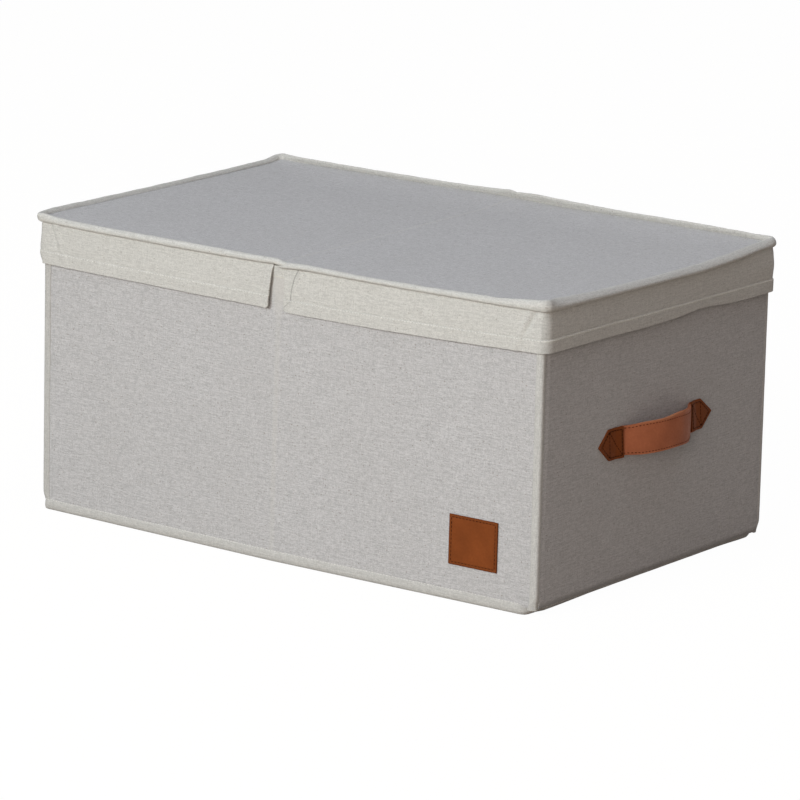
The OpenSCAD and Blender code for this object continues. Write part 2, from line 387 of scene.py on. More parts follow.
def side_run(start, end, outward, count):
    """A straight run in plan: its points and outward directions, without its last point."""
    share = np.linspace(0, 1, count, endpoint=False)[:, None]
    return np.array(start) * (1 - share) + np.array(end) * share, np.tile(outward, (count, 1)).astype(float)


def whole_loop(half_l, half_d, radius, corner_count, counts=LOOP_COUNTS):
    """Points and outward directions round a rectangle with round corners, anticlockwise, closed."""
    long_count, short_count = counts
    x, y = half_l - radius, half_d - radius
    parts = [
        side_run((-x, -half_d), (x, -half_d), (0, -1), long_count),
        bend_round((x, -y), -math.pi / 2, radius, corner_count),
        side_run((half_l, -y), (half_l, y), (1, 0), short_count),
        bend_round((x, y), 0, radius, corner_count),
        side_run((x, half_d), (-x, half_d), (0, 1), long_count),
        bend_round((-x, y), math.pi / 2, radius, corner_count),
        side_run((-half_l, y), (-half_l, -y), (-1, 0), short_count),
        bend_round((-x, -y), math.pi, radius, corner_count),
    ]
    line, outward = (np.concatenate(x) for x in zip(*parts))
    return np.concatenate([line, line[:1]]), np.concatenate([outward, outward[:1]])


def end_loop(side, start, half_l, half_d, radius, step=2.5 * MM, corner_count=9):
    """Points and outward directions from the middle of one long side round an end to the other one.

    They run anticlockwise: from the front to the back round the right end, and back round the left one.
    """
    x, y = half_l - radius, half_d - radius
    long_count = math.ceil((x - start) / step)
    parts = [
        side_run((start, -half_d), (x, -half_d), (0, -1), long_count),
        bend_round((x, -y), -math.pi / 2, radius, corner_count),
        side_run((half_l, -y), (half_l, y), (1, 0), math.ceil(2 * y / step)),
        bend_round((x, y), 0, radius, corner_count),
        side_run((x, half_d), (start, half_d), (0, 1), long_count),
        (np.array([(start, half_d)]), np.array([(0.0, 1.0)])),
    ]
    line, outward = (np.concatenate(x) for x in zip(*parts))
    if side == LEFT:
        line, outward = line[::-1] * (-1, 1), outward[::-1] * (-1, 1)
    return line, outward


def at_height(line, height):
    """A line in plan, raised to one height or to a height for each point."""
    return np.concatenate([line, np.broadcast_to(height, len(line))[:, None]], axis=1)


def sweep(line, outward, out, height):
    """Points [column, row]: each point of a line in plan, moved outward by out and raised to height."""
    out, height = np.broadcast_arrays(out, height)
    if out.ndim == 1:
        out, height = (np.tile(x, (len(line), 1)) for x in (out, height))
    plan = line[:, None] + outward[:, None] * out[..., None]
    return np.concatenate([plan, height[..., None]], axis=2)


# ---- finishes ----

FINISHES = {}
HUSK_COLOUR = (0.17, 0.13, 0.09)
RAW_EDGE_COLOUR = (0.62, 0.30, 0.16)
BOARD_COLOUR = (0.36, 0.29, 0.20)
BROWN_THREAD_COLOUR = (0.040, 0.011, 0.005)


def add_node(tree, kind, inputs=None, **attributes):
    """Adds a shader node, sets its attributes, and fills or links its inputs."""
    node = tree.nodes.new(kind)
    for attribute, value in attributes.items():
        setattr(node, attribute, value)
    for key, value in (inputs or {}).items():
        if isinstance(value, bpy.types.NodeSocket):
            tree.links.new(value, node.inputs[key])
        else:
            node.inputs[key].default_value = value
    return node


def maths(tree, operation, first, second=0.0):
    return add_node(tree, "ShaderNodeMath", {0: first, 1: second}, operation=operation).outputs[0]


def spread(tree, value, low, high, to_low, to_high):
    """Maps a value from one range to another, held at the ends."""
    node = add_node(tree, "ShaderNodeMapRange", {
        "Value": value, "From Min": low, "From Max": high, "To Min": to_low, "To Max": to_high})
    return node.outputs[0]


def tint(tree, factor, first, second):
    """A colour between two, by a factor."""
    node = add_node(tree, "ShaderNodeMix", data_type="RGBA")
    for key, value in ((0, factor), (6, first), (7, second)):
        if isinstance(value, bpy.types.NodeSocket):
            tree.links.new(value, node.inputs[key])
        else:
            node.inputs[key].default_value = value if key == 0 else (*value, 1)
    return node.outputs[2]


def noise_at(tree, place, scale, size=1.0, detail=2.0, turn=0.0):
    """A noise whose grains are 1 / scale long along each axis of place."""
    mapped = add_node(tree, "ShaderNodeMapping", {
        "Vector": place, "Scale": scale, "Location": (turn, turn, turn)}).outputs[0]
    grains = add_node(tree, "ShaderNodeTexNoise", {"Vector": mapped, "Scale": size, "Detail": detail})
    return grains.outputs[0]


def new_finish(name, **sockets):
    """A material with the constant values of its shader set, and its tree and shader."""
    material = bpy.data.materials.new(name)
    material.use_nodes = True
    tree = material.node_tree
    shader = tree.nodes["Principled BSDF"]
    for socket, value in sockets.items():
        shader.inputs[socket.replace("_", " ")].default_value = value
    FINISHES[name] = material
    return tree, shader


def shade(colour, factor):
    """A colour made lighter or darker."""
    return tuple(min(1.0, channel * factor) for channel in colour)


def scale_channels(colour, shares):
    """A colour with each channel changed by its own share."""
    return tuple(channel * share for channel, share in zip(colour, shares))


def relief(tree, shader, height, strength, distance):
    """Raises the surface by a height."""
    bump = add_node(tree, "ShaderNodeBump", {"Height": height, "Strength": strength, "Distance": distance})
    tree.links.new(bump.outputs[0], shader.inputs["Normal"])


def cloth_finish(name, colour, slub, flecks, bump):
    """Plain woven canvas: yarns both ways, thick slubs along them, and dark flecks of husk."""
    fabric = bpy.context.scene.box_fabric
    tree, shader = new_finish(name, Roughness=0.94, Sheen_Weight=0.12, Sheen_Roughness=0.6,
                              Specular_IOR_Level=0.15)
    place = add_node(tree, "ShaderNodeUVMap", uv_map="UVMap").outputs[0]
    split = add_node(tree, "ShaderNodeSeparateXYZ", {0: place})
    turns = 2 * math.pi / fabric.thread_pitch
    warp, weft = (maths(tree, "SINE", maths(tree, "MULTIPLY", split.outputs[axis], turns))
                  for axis in (0, 1))
    weave = maths(tree, "MULTIPLY", warp, weft)
    patches = noise_at(tree, place, (9, 9, 1), turn=1.3, detail=3)
    grain = noise_at(tree, place, (760, 950, 1), turn=5.2, detail=1)
    # the fuzz, then short yarns along, long thick ones along, and short ones across
    yarn = maths(tree, "MULTIPLY", grain, 0.34)
    for scale, share, turn in (((170, 760, 1), 0.30, 0.0), ((42, 640, 1), 0.20, 3.1),
                               ((760, 150, 1), 0.16, 7.7)):
        yarns = noise_at(tree, place, scale, turn=turn)
        yarn = maths(tree, "ADD", yarn, maths(tree, "MULTIPLY", yarns, share))
    tone = spread(tree, yarn, 0.41, 0.59, 0.0, 1.0)
    low, high = shade(colour, 1 - 0.40 * slub), shade(colour, 1 + 0.34 * slub)
    mixed = tint(tree, tone, low, high)
    mixed = tint(tree, spread(tree, patches, 0.3, 0.7, 0.0, 0.16), mixed, scale_channels(colour, (0.88, 0.86, 0.83)))
    mixed = tint(tree, spread(tree, weave, -1.0, 1.0, 0.07, 0.0), mixed, shade(colour, 0.6))
    speck = noise_at(tree, place, (430, 640, 1), turn=9.9, detail=0)
    husk = spread(tree, speck, 0.80 - 0.06 * flecks, 0.84 - 0.05 * flecks, 0.0, 0.5 * flecks)
    mixed = tint(tree, husk, mixed, HUSK_COLOUR)
    # the edge attribute paints shade where it is above 0 and paints light where it is below 0, with some
    # wear along the creases
    edge = add_node(tree, "ShaderNodeAttribute", attribute_name="edge").outputs["Fac"]
    mixed = tint(tree, maths(tree, "MULTIPLY", edge, 0.7), mixed, shade(colour, 0.25))
    mixed = tint(tree, maths(tree, "MULTIPLY", edge, -0.7), mixed, scale_channels(colour, (1.16, 1.13, 1.04)))
    tree.links.new(mixed, shader.inputs["Base Color"])
    height = maths(tree, "ADD", maths(tree, "MULTIPLY", weave, 0.25), maths(tree, "MULTIPLY", yarn, 2.2))
    height = maths(tree, "ADD", height, maths(tree, "MULTIPLY", grain, 0.5))
    relief(tree, shader, height, bump, 0.3 * MM)


def leather_finish(name, colour, gloss):
    """Smooth leather: fine pores, cloudy dye, dark or raw edges, and painted shade, where the edge
    attribute says.
    """
    tree, shader = new_finish(name, Specular_IOR_Level=0.05)
    place = add_node(tree, "ShaderNodeTexCoord").outputs["Object"]
    clouds = noise_at(tree, place, (38, 38, 38), detail=4)
    fine = noise_at(tree, place, (420, 420, 420), turn=2.2, detail=3)
    pores = add_node(tree, "ShaderNodeTexVoronoi", {"Vector": place, "Scale": 1150.0}).outputs["Distance"]
    mixed = tint(tree, spread(tree, clouds, 0.3, 0.7, 0.0, 1.0), shade(colour, 0.84), shade(colour, 1.13))
    mixed = tint(tree, spread(tree, fine, 0.35, 0.65, 0.0, 0.3), mixed, shade(colour, 0.72))
    # above 0 the edge attribute darkens burnished edges and stitch lines and paints shade on the strap's
    # back part; below 0 it gives pale raw edges
    edge = add_node(tree, "ShaderNodeAttribute", attribute_name="edge").outputs["Fac"]
    mixed = tint(tree, maths(tree, "MULTIPLY", edge, 0.62), mixed, shade(colour, 0.33))
    mixed = tint(tree, maths(tree, "MULTIPLY", edge, -1.0), mixed, RAW_EDGE_COLOUR)
    tree.links.new(mixed, shader.inputs["Base Color"])
    rough = spread(tree, fine, 0.3, 0.7, gloss - 0.06, gloss + 0.08)
    tree.links.new(rough, shader.inputs["Roughness"])
    height = maths(tree, "ADD", maths(tree, "MULTIPLY", pores, 0.8), maths(tree, "MULTIPLY", fine, 1.6))
    relief(tree, shader, height, 0.35, 0.2 * MM)


def thread_finish(name, colour):
    """Twisted sewing thread."""
    tree, shader = new_finish(name, Roughness=0.85, Specular_IOR_Level=0.0)
    place = add_node(tree, "ShaderNodeTexCoord").outputs["Object"]
    twist = noise_at(tree, place, (1600, 1600, 1600), detail=1)
    mixed = tint(tree, spread(tree, twist, 0.35, 0.65, 0.0, 1.0), shade(colour, 0.75), shade(colour, 1.15))
    tree.links.new(mixed, shader.inputs["Base Color"])


def board_finish(name, colour):
    """Pressed grey-brown board with long fibres."""
    tree, shader = new_finish(name, Roughness=0.85, Specular_IOR_Level=0.2)
    place = add_node(tree, "ShaderNodeTexCoord").outputs["Object"]
    fibres = noise_at(tree, place, (120, 120, 500), detail=4)
    spots = noise_at(tree, place, (30, 30, 30), turn=4.4, detail=5)
    mixed = tint(tree, spread(tree, fibres, 0.3, 0.7, 0.0, 1.0), shade(colour, 0.78), shade(colour, 1.15))
    mixed = tint(tree, spread(tree, spots, 0.45, 0.75, 0.0, 0.4), mixed, shade(colour, 0.6))
    tree.links.new(mixed, shader.inputs["Base Color"])
    relief(tree, shader, fibres, 0.4, 0.2 * MM)


def mark_tone_and_painted_light(piece, closeness):
    """Stores how much each point is darkened, above 0, or lightened, below 0: burnished and raw leather
    edges, wear, painted shade and painted highlight.
    """
    attribute = piece.data.attributes.new("edge", "FLOAT", "POINT")
    attribute.data.foreach_set("value", np.clip(closeness, -1, 1).astype(np.float32))


# ---- how the lid's edges lie ----

# heights in mm at places along the front, the back, the left end and the right end
PIPING_TOP = (
    ((-306, 300.8), (-290, 298.8), (-270, 297.4), (-229, 296.8), (-106, 297.0), (-28, 296.8), (-1, 296.2),
     (44, 295.9), (94, 295.0), (157, 296.0), (250, 298.2), (284, 301.6), (306, 304.2)),
    ((-306, 304.4), (-224, 304.1), (-98, 304.4), (-60, 305.2), (-34, 306.0), (-9, 307.1), (16, 307.3),
     (42, 306.5), (67, 305.8), (118, 304.8), (219, 305.1), (257, 304.6), (306, 303.4)),
    ((-195, 299.8), (-166, 300.3), (-118, 299.7), (0, 299.2), (100, 299.4), (171, 300.2), (195, 304.4)),
    ((-195, 304.2), (-160, 300.9), (-107, 298.7), (-15, 296.8), (66, 296.5), (120, 298.3), (170, 301.4),
     (195, 303.2)),
)
PIPING_LOW = (
    ((-306, 291.6), (-250, 290.2), (-106, 289.8), (-28, 290.8), (0, 290.2), (150, 290.2), (250, 291.1),
     (306, 292.0)),
    ((-306, 294.6), (-200, 294.6), (0, 295.6), (200, 294.6), (306, 294.2)),
    ((-195, 291.6), (0, 292.6), (195, 294.6)),
    ((-195, 292.0), (-108, 290.9), (-17, 289.8), (64, 288.6), (120, 290.5), (168, 293.6), (195, 294.2)),
)


def edge_height(x, y, heights):
    """A height at any place on the lid: that of its nearest edges, each weighed by how near it is."""
    warp = bpy.context.scene.box_lid.warp
    x, y = np.broadcast_arrays(x, y)
    total, weights = 0.0, 0.0
    for side, distance in enumerate((LID_D + y, LID_D - y, LID_L + x, LID_L - x)):
        places, values = np.array(heights[side]).T * MM
        here = np.interp(y if side > 1 else x, places, values)
        weight = 1 / (distance.clip(0) + 0.5 * MM) ** 2
        total, weights = total + here * weight, weights + weight
    unworn = heights[0][len(heights[0]) // 2][1] * MM
    return warp * total / weights + (1 - warp) * unworn


def overhang(x):
    """How far outward the lid's edge sits at a place along it: more at its left end."""
    shift = bpy.context.scene.box_lid.overhang
    return shift * (ease(-x, 0.8 * LID_L, LID_L) + 0.2 * ease(x, 0.8 * LID_L, LID_L))


def seam_x(y):
    """Where the fold across the top lies: a little to the left, and aslant."""
    return -4.9 * MM - 2.35 * MM * y / LID_D


# ---- the box ----

class BOX_OT_boards(bpy.types.Operator):
    """Finish the boards in the walls, the lid and the floor panel"""
    bl_idname = "storage_box.boards"
    bl_label = "Boards"

    def execute(self, context):
        board_finish("board", BOARD_COLOUR)
        for name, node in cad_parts.items():
            if "board" in name:
                node.data.materials.clear()
                node.data.materials.append(FINISHES["board"])
        for side, inner in ((LEFT, -1.5 * MM), (RIGHT, 1.5 * MM)):
            self.floor_board(side, CREASE_X + inner)
        return {"FINISHED"}

    @staticmethod
    def floor_board(side, inner):
        """One half of the floor, with its outer end cut back where the base turns under."""
        node = f"base_board_{SIDE_NAMES[side]}"
        low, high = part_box(node)
        outer = side * (HALF_L - NOTCH - base_tuck(side))
        piece = block(f"floor_board_{SIDE_NAMES[side]}", (min(inner, outer), low.y, low.z),
                      (max(inner, outer), high.y, high.z), BASE_RADIUS - NOTCH, 8,
                      lambda x: abs(x - outer) < MM)
        apply_modifier(piece, "BEVEL", width=0.3 * MM, segments=2, limit_method="ANGLE")
        dress(piece, "board", "box", [node])


def base_tuck(side, y=0.0):
    """How far the bottom seam turns under an end wall at the table."""
    if side == LEFT:
        return 0.5 * MM
    between_corners = (ease(y, -HALF_D + 15 * MM, -HALF_D + 120 * MM)
                       * ease(-y, -HALF_D + 10 * MM, -HALF_D + 70 * MM))
    return (14 + 12 * between_corners) * MM


def long_bow(x):
    """How far a long wall stands out at the table: most at the crease, and evenly less toward its ends."""
    return 6 * MM * (1 - np.abs(x - CREASE_X) / WALL_EDGE_L).clip(0)


def wall_bow(x, z):
    """How far a long wall stands out at a place on it."""
    return long_bow(x) * (1 - z / WALL_TOP)


class BOX_OT_base(bpy.types.Operator):
    """Make the bound seam round the bottom and the canvas underneath"""
    bl_idname = "storage_box.base"
    bl_label = "Base"

    def execute(self, context):
        line, outward = whole_loop(HALF_L, HALF_D, BASE_RADIUS, 14)
        sharper, _ = whole_loop(HALF_L, HALF_D, 6 * MM, 14)
        line = np.where(line[:, :1] < 0, sharper, line)
        toward_end = ease(np.abs(outward[:, 0]), 0.25, 0.95)[:, None]
        tuck = np.where(line[:, :1] > 0, base_tuck(RIGHT, line[:, 1:]), base_tuck(LEFT))
        # the section, out from the wall and up from the table: in mm beside a long wall, and at the ends a
        # share of how far it turns under there, with a part in mm that is fixed
        beside = np.array([(-3.8, 8.5), (-0.4, 10.8), (0.3, 11.2), (0.8, 10.5), (1.25, 8.4), (1.5, 5.6),
                           (1.3, 3.0), (0.6, 1.0), (-1.2, 0), (-6.5, 0), (-6.5, 2.0), (-3.8, 4.0)]) * MM
        turned = np.array([(0, 8.5), (0, 8.9), (0, 8.1), (-0.01, 7.0), (-0.06, 5.6), (-0.18, 4.0),
                           (-0.42, 2.3), (-0.72, 0.8), (-1.0, 0), (-1.2, 0), (-1.2, 1.6), (-0.3, 3.9)])
        fixed = np.array([-3.8, -1.8, -1.1, -0.8, -0.4, *[0] * 7]) * MM
        # the long walls stand out where they crease, and the seam with them
        bow = long_bow(line[:, :1]) * np.abs(outward[:, 1:]) * (beside[:, 0] > -2 * MM)
        out = (beside[:, 0] + bow) * (1 - toward_end) + toward_end * (turned[:, 0] * tuck + fixed)
        height = beside[:, 1] * (1 - toward_end) + turned[:, 1] * MM * toward_end
        points = sweep(line, outward, out, height)
        ripple = rumple(points, 22 * MM, 3.3)[..., None] * 0.35 * MM
        lifted = (height > 0.05 * MM)[..., None]
        points[..., :2] += outward[:, None] * ripple * lifted
        points = np.concatenate([points, points[:, :1]], axis=1)
        band = lay("base_roll", points, closed=True)
        face_outward(band)
        # painted shade where it turns under the ends
        now = np.abs(read_points(band))
        turns = (now[:, 1] < HALF_D - BASE_RADIUS / 2) * (now[:, 0] > HALF_L - 2 * BASE_RADIUS)
        mark_tone_and_painted_light(band, 0.5 * turns)
        dress(band, "binding canvas", "box", ["base_binding"])
        normal = at_height(outward, 0.0)
        stitched = points[:, 3] - normal * 0.1 * MM
        sew("base_roll_stitches", [(stitched, normal)], context.scene.box_fabric.stitch_pitch,
            "cream thread", "box", width=0.5 * MM)
        self.underside()
        return {"FINISHED"}

    @staticmethod
    def underside():
        """The canvas under the floor, drawn flat, with the crease across it."""
        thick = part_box("base_cover")[1].z
        low_x = -HALF_L + NOTCH + base_tuck(LEFT)
        high_x = HALF_L - NOTCH - base_tuck(RIGHT)
        xs = steps((low_x, CREASE_X - 4 * MM, CREASE_X + 4 * MM, high_x), 6 * MM)
        ys = steps((-HALF_D + NOTCH, HALF_D - NOTCH), 6 * MM)
        x, y = round_corners(*np.meshgrid(xs, ys, indexing="ij"), (low_x, -HALF_D + NOTCH),
                             (high_x, HALF_D - NOTCH), BASE_RADIUS - NOTCH)
        crease = 0.4 * MM * hump(x, CREASE_X, 1.5 * MM)
        points = np.stack([x, y, 0.55 * thick + crease], axis=2)
        points[..., 2] += 0.05 * MM * rumple(points, 30 * MM, 1.1)
        piece = lay("underside_canvas", points[:, ::-1], 0.8 * thick)
        dress(piece, "cream canvas", "box", ["base_cover"])


class BOX_OT_walls(bpy.types.Operator):
    """Make the canvas on the four walls"""
    bl_idname = "storage_box.walls"
    bl_label = "Walls"

    def execute(self, context):
        for name, out, distance, half_width in (
                ("front", (0, -1), HALF_D, WALL_EDGE_L), ("back", (0, 1), HALF_D, WALL_EDGE_L),
                ("left_end", (-1, 0), HALF_L, WALL_EDGE_D), ("right_end", (1, 0), HALF_L, WALL_EDGE_D)):
            self.cover(name, np.array(out, float), distance, half_width)
        return {"FINISHED"}

    @staticmethod
    def cover(name, out, distance, half_width):
        """One wall's canvas: drawn in beside the corner welts, with a ridge over the crease."""
        along = np.array([-out[1], out[0]])
        crease = CREASE_X * along[0]
        is_long = name in FACE_NAMES.values()
        near = [crease - 6 * MM, crease + 6 * MM] if is_long else []
        us = finer_at_ends(-half_width, half_width, 9 * MM, 1 * MM, 4 * MM, near)
        if is_long:
            us = in_order(us, steps(near, 0.75 * MM))
        vs = np.concatenate([steps((WALL_FOOT - 0.6 * MM, WALL_FOOT + 8 * MM), 1 * MM)[:-1],
                             steps((WALL_FOOT + 8 * MM, WALL_TOP), 4.5 * MM)])
        u, v = np.meshgrid(us, vs, indexing="ij")
        flat = np.stack([u, v, np.full_like(u, distance)], axis=2)
        bulge = (0.55 + 0.45 * rumple(flat, 95 * MM, distance) + 0.10 * rumple(flat, 17 * MM, 4.0)) * MM
        if is_long:
            wander = crease + 0.9 * MM * (v / WALL_TOP - 0.5) * np.sign(crease)
            bulge += 0.28 * MM * hump(u, wander, 1.7 * MM) * ease(-v, -270 * MM, -230 * MM)
        from_edge = half_width - np.abs(u)
        bulge = bulge * ease(from_edge, 0.5 * MM, 10 * MM if is_long else 6.5 * MM) + 0.05 * MM
        bulge *= ease(v - WALL_FOOT, -1.5 * MM, 3 * MM)
        if is_long:
            bulge += wall_bow(u * along[0], v)
        else:
            bulge -= 0.7 * MM * (1 - ease(v - WALL_FOOT, -0.6 * MM, 5 * MM))
        # the rim tape is sewn over its top
        bulge += (-0.1 * MM - bulge) * ease(v, RIM_LOW - 5 * MM, RIM_LOW - 0.5 * MM)
        plan = along * u[..., None] + out * (distance - CANVAS / 2 + bulge)[..., None]
        points = np.concatenate([plan, v[..., None]], axis=2)
        piece = lay(f"{name}_canvas", points, CANVAS)
        now = read_points(piece)
        if is_long:
            # the crease is paler with wear, and a wider band near the top is painted light, standing for
            # warm light bounced between the skirts
            place = now[:, 0] * along[0] - crease
            upper = ease(now[:, 2], 235 * MM, 270 * MM)
            half_band = 3.0 * MM + 9 * MM * upper
            mark_tone_and_painted_light(piece, -(0.3 + 0.6 * upper) * np.exp(-(place / half_band) ** 4))
        else:
            # the end walls are painted darker toward their foot: painted shade where they turn under
            mark_tone_and_painted_light(piece, 0.55 * (1 - ease(now[:, 2] - WALL_FOOT, -0.6 * MM, 6 * MM)))
        dress(piece, "grey canvas", "box", [f"{name}_cover"])


class BOX_OT_welts(bpy.types.Operator):
    """Make the round welts down the four corners"""
    bl_idname = "storage_box.welts"
    bl_label = "Corner welts"

    def execute(self, context):
        low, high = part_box("corner_welt_back_right")
        heights = steps((low.z - 2.5 * MM, low.z + 14 * MM, high.z), 2.6 * MM)
        # the section in plan, in mm from the corner of the walls: a flat hem on the long wall, then round
        section = np.array([(-8.2, 0.0), (-8.1, 0.8), (-7.4, 1.3), (-5.4, 1.5), (-3.0, 1.45),
                            (-1.2, 1.1), (-0.3, 0.4), (0.1, -0.7), (0.2, -2.3), (0.15, -3.4),
                            (-0.1, -3.95), (-0.6, -3.9), (-2.4, -3.6), (-3.4, -2.8), (-3.8, -1.4),
                            (-4.3, -0.3), (-6.0, -0.05), (-8.2, 0.0)]) * MM
        x, y = (section + (HALF_L, HALF_D)).T
        # its foot bends in over the base's round corner
        inset = (2.0 * MM * (1 - ease(heights, low.z - 3 * MM, low.z + 11 * MM)))[:, None]
        inset_y = inset * ease(x, HALF_L - 9 * MM, HALF_L - 1 * MM)
        for side in (LEFT, RIGHT):
            for face in (FRONT, BACK):
                across = np.broadcast_to(side * (x - inset), (len(heights), len(x)))
                deep = np.broadcast_to(face * (y - inset_y), across.shape)
                tall = np.broadcast_to(heights[:, None], across.shape)
                points = np.stack([across, deep, tall], axis=2)
                points[..., 1] += face * 0.12 * MM * rumple(points * (0, 0, 1), 14 * MM, side + 2.0 * face)
                points[..., 0] += side * 0.2 * MM * rumple(points * (0, 0, 1), 27 * MM, side - face)
                name = f"{FACE_NAMES[face]}_{SIDE_NAMES[side]}"
                piece = lay(f"corner_roll_{name}", points, closed=True, cover_ends=True)
                # the left ones are a little darker
                mark_tone_and_painted_light(piece, np.full(len(piece.data.vertices), 0.12 * (side == LEFT)))
                dress(piece, "binding canvas", "box", [f"corner_welt_{name}"])
        return {"FINISHED"}


class BOX_OT_rim(bpy.types.Operator):
    """Make the tape folded over the rim, with its two rows of stitches"""
    bl_idname = "storage_box.rim"
    bl_label = "Rim tape"

    def execute(self, context):
        outer, outward = whole_loop(HALF_L + RIM_OUT, HALF_D + RIM_OUT, 3.4 * MM, 10)
        inner, _ = whole_loop(HALF_L - WALL_T - RIM_OUT, HALF_D - WALL_T - RIM_OUT, 16.6 * MM, 10)
        # the section: share of the way from the outside to the inside, and height
        depth = RIM_TOP - RIM_LOW
        legs = [RIM_LOW + share * depth for share in (0, 0.12, 0.25, 0.4, 0.55, 0.7, 0.82)]
        over = [(0.06, 0.9), (0.2, 0.45), (0.5, 0.4), (0.8, 0.45), (0.94, 0.9)]
        section = [*[(0, z) for z in legs], *[(share, RIM_TOP - down * MM) for share, down in over],
                   *[(1, z) for z in reversed(legs)]]
        share, height = np.array(section).T
        plan = outer[:, None] * (1 - share[:, None]) + inner[:, None] * share[:, None]
        points = np.concatenate([plan, np.tile(height[:, None], (len(outer), 1, 1))], axis=2)
        wave = 0.08 * MM * rumple(points, 20 * MM, 6.0)
        swing = np.where(share < 0.5, 1.0, -1.0) * (np.abs(share - 0.5) > 0.45)
        points[..., :2] -= outward[:, None] * (swing * (0.25 * MM + np.abs(wave)))[..., None]
        piece = lay("rim_tape", points, 0.75 * MM, closed=True)
        # its lower edges are made paler
        mark_tone_and_painted_light(piece, -hump(read_points(piece)[:, 2], RIM_LOW, 0.8 * MM))
        dress(piece, "cream canvas", "box", ["rim_binding"])
        rows = []
        for line, direction in ((outer, 1), (inner, -1)):
            normal = at_height(outward * direction, 0.0)
            rows.append((at_height(line, RIM_LOW + 2.2 * MM) - normal * 0.08 * MM, normal))
        stitches = sew("rim_tape_stitches", rows, context.scene.box_fabric.stitch_pitch,
                       "cream thread", "box")
        return {"FINISHED"}


class BOX_OT_lining(bpy.types.Operator):
    """Make the thin fabric that lines the walls and the floor"""
    bl_idname = "storage_box.lining"
    bl_label = "Lining"

    def execute(self, context):
        face_l, face_d = HALF_L - WALL_T + LINING / 2, HALF_D - WALL_T + LINING / 2
        line, outward = whole_loop(face_l, face_d, LINING_RADIUS + LINING / 2, 12)
        foot = 5.5 * MM
        turn = np.linspace(0, math.pi / 2, 6)
        bottom = FLOOR_LOW + LINING / 2
        # up the wall from the foot, whose small fold runs on into the floor
        out = np.concatenate([-foot + foot * np.sin(turn), np.zeros(52)])
        height = np.concatenate([bottom + foot * (1 - np.cos(turn)),
                                 np.linspace(bottom + foot, WALL_TOP, 53)[1:]])
        points = sweep(line, outward, out, height)
        creased = hump(points[..., 0], CREASE_X, 2 * MM) * (np.abs(outward[:, 1]) > 0.9)[:, None]
        slack = (0.30 * rumple(points, 70 * MM, 8.0) + 0.10 * rumple(points, 14 * MM, 2.5) + 0.4) * MM
        slack = slack * ease(height, bottom + foot, 40 * MM) * ease(-height, -WALL_TOP, -250 * MM)
        points[..., :2] -= outward[:, None] * (slack + 0.5 * MM * creased)[..., None]
        walls = lay("inner_lining", points, LINING, closed=True)
        dress(walls, "inner fabric", "box", ["lining"])
        xs = steps((-face_l + foot, CREASE_X - 4 * MM, CREASE_X + 4 * MM, face_l - foot), 5 * MM)
        ys = steps((-face_d + foot, face_d - foot), 5 * MM)
        x, y = np.meshgrid(xs, ys, indexing="ij")
        dip = 0.15 * MM * hump(x, CREASE_X, 1.5 * MM)
        x, y = round_corners(x, y, (foot - face_l, foot - face_d), (face_l - foot, face_d - foot),
                             LINING_RADIUS + LINING / 2 - foot)
        floor_points = np.stack([x, y, bottom - dip], axis=2)
        floor = lay("floor_lining", floor_points, LINING)
        dress(floor, "inner fabric", "box", ["lining"])
        return {"FINISHED"}


class BOX_OT_patch(bpy.types.Operator):
    """Make the bare leather patch with its stitched border"""
    bl_idname = "storage_box.patch"
    bl_label = "Patch"

    def execute(self, context):
        low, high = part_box("label_patch")
        margin = 2.6 * MM
        width, height = high.x - low.x, high.z - low.z
        us, vs = (finer_at_ends(0, size, 4 * MM, 0.5 * MM, 2 * MM) for size in (width, height))
        u, v = np.meshgrid(us, vs, indexing="ij")
        from_edge = np.minimum(np.minimum(u, width - u), np.minimum(v, height - v))
        # corners cut slightly round, stitches that pull the leather down, and an edge that lifts a little
        x, z = round_corners(low.x + u, low.z + v, (low.x, low.z), (high.x, high.z), 1.6 * MM)
        flat = np.stack([x, z, 0 * x], axis=2)
        proud = 0.9 * MM + 0.12 * MM * rumple(flat, 16 * MM, 5.0)
        proud -= 0.22 * MM * hump(from_edge, margin, 0.6 * MM)
        proud -= 0.30 * MM * (1 - ease(from_edge, 0, 1.0 * MM))
        y = low.y - proud + 0.45 * MM - wall_bow(x, z)
        piece = lay("leather_patch", np.stack([x, y, z], axis=2), 1.1 * MM)
        burnish(piece, 0.25 * MM)
        points = read_points(piece)
        near = np.minimum(np.minimum(points[:, 0] - low.x, high.x - points[:, 0]),
                          np.minimum(points[:, 2] - low.z, high.z - points[:, 2]))
        mark_tone_and_painted_light(piece, np.exp(-near.clip(0) / (1.0 * MM)) + 0.5 * hump(near, margin, 0.7 * MM))
        dress(piece, "patch leather", "box", ["label_patch"])
        inset = [(low.x + margin, low.z + margin), (high.x - margin, low.z + margin),
                 (high.x - margin, high.z - margin), (low.x + margin, high.z - margin)]
        rows = []
        for start, end in zip(inset, inset[1:] + inset[:1]):
            x, z = np.linspace(start, end, 20).T
            line = np.stack([x, low.y - 0.78 * MM - wall_bow(x, z), z], axis=1)
            rows.append((line, np.tile((0.0, -1.0, 0.0), (len(line), 1))))
        sew("leather_patch_stitches", rows, context.scene.box_leather.stitch_pitch, "brown thread",
            "box", width=0.75 * MM)
        return {"FINISHED"}


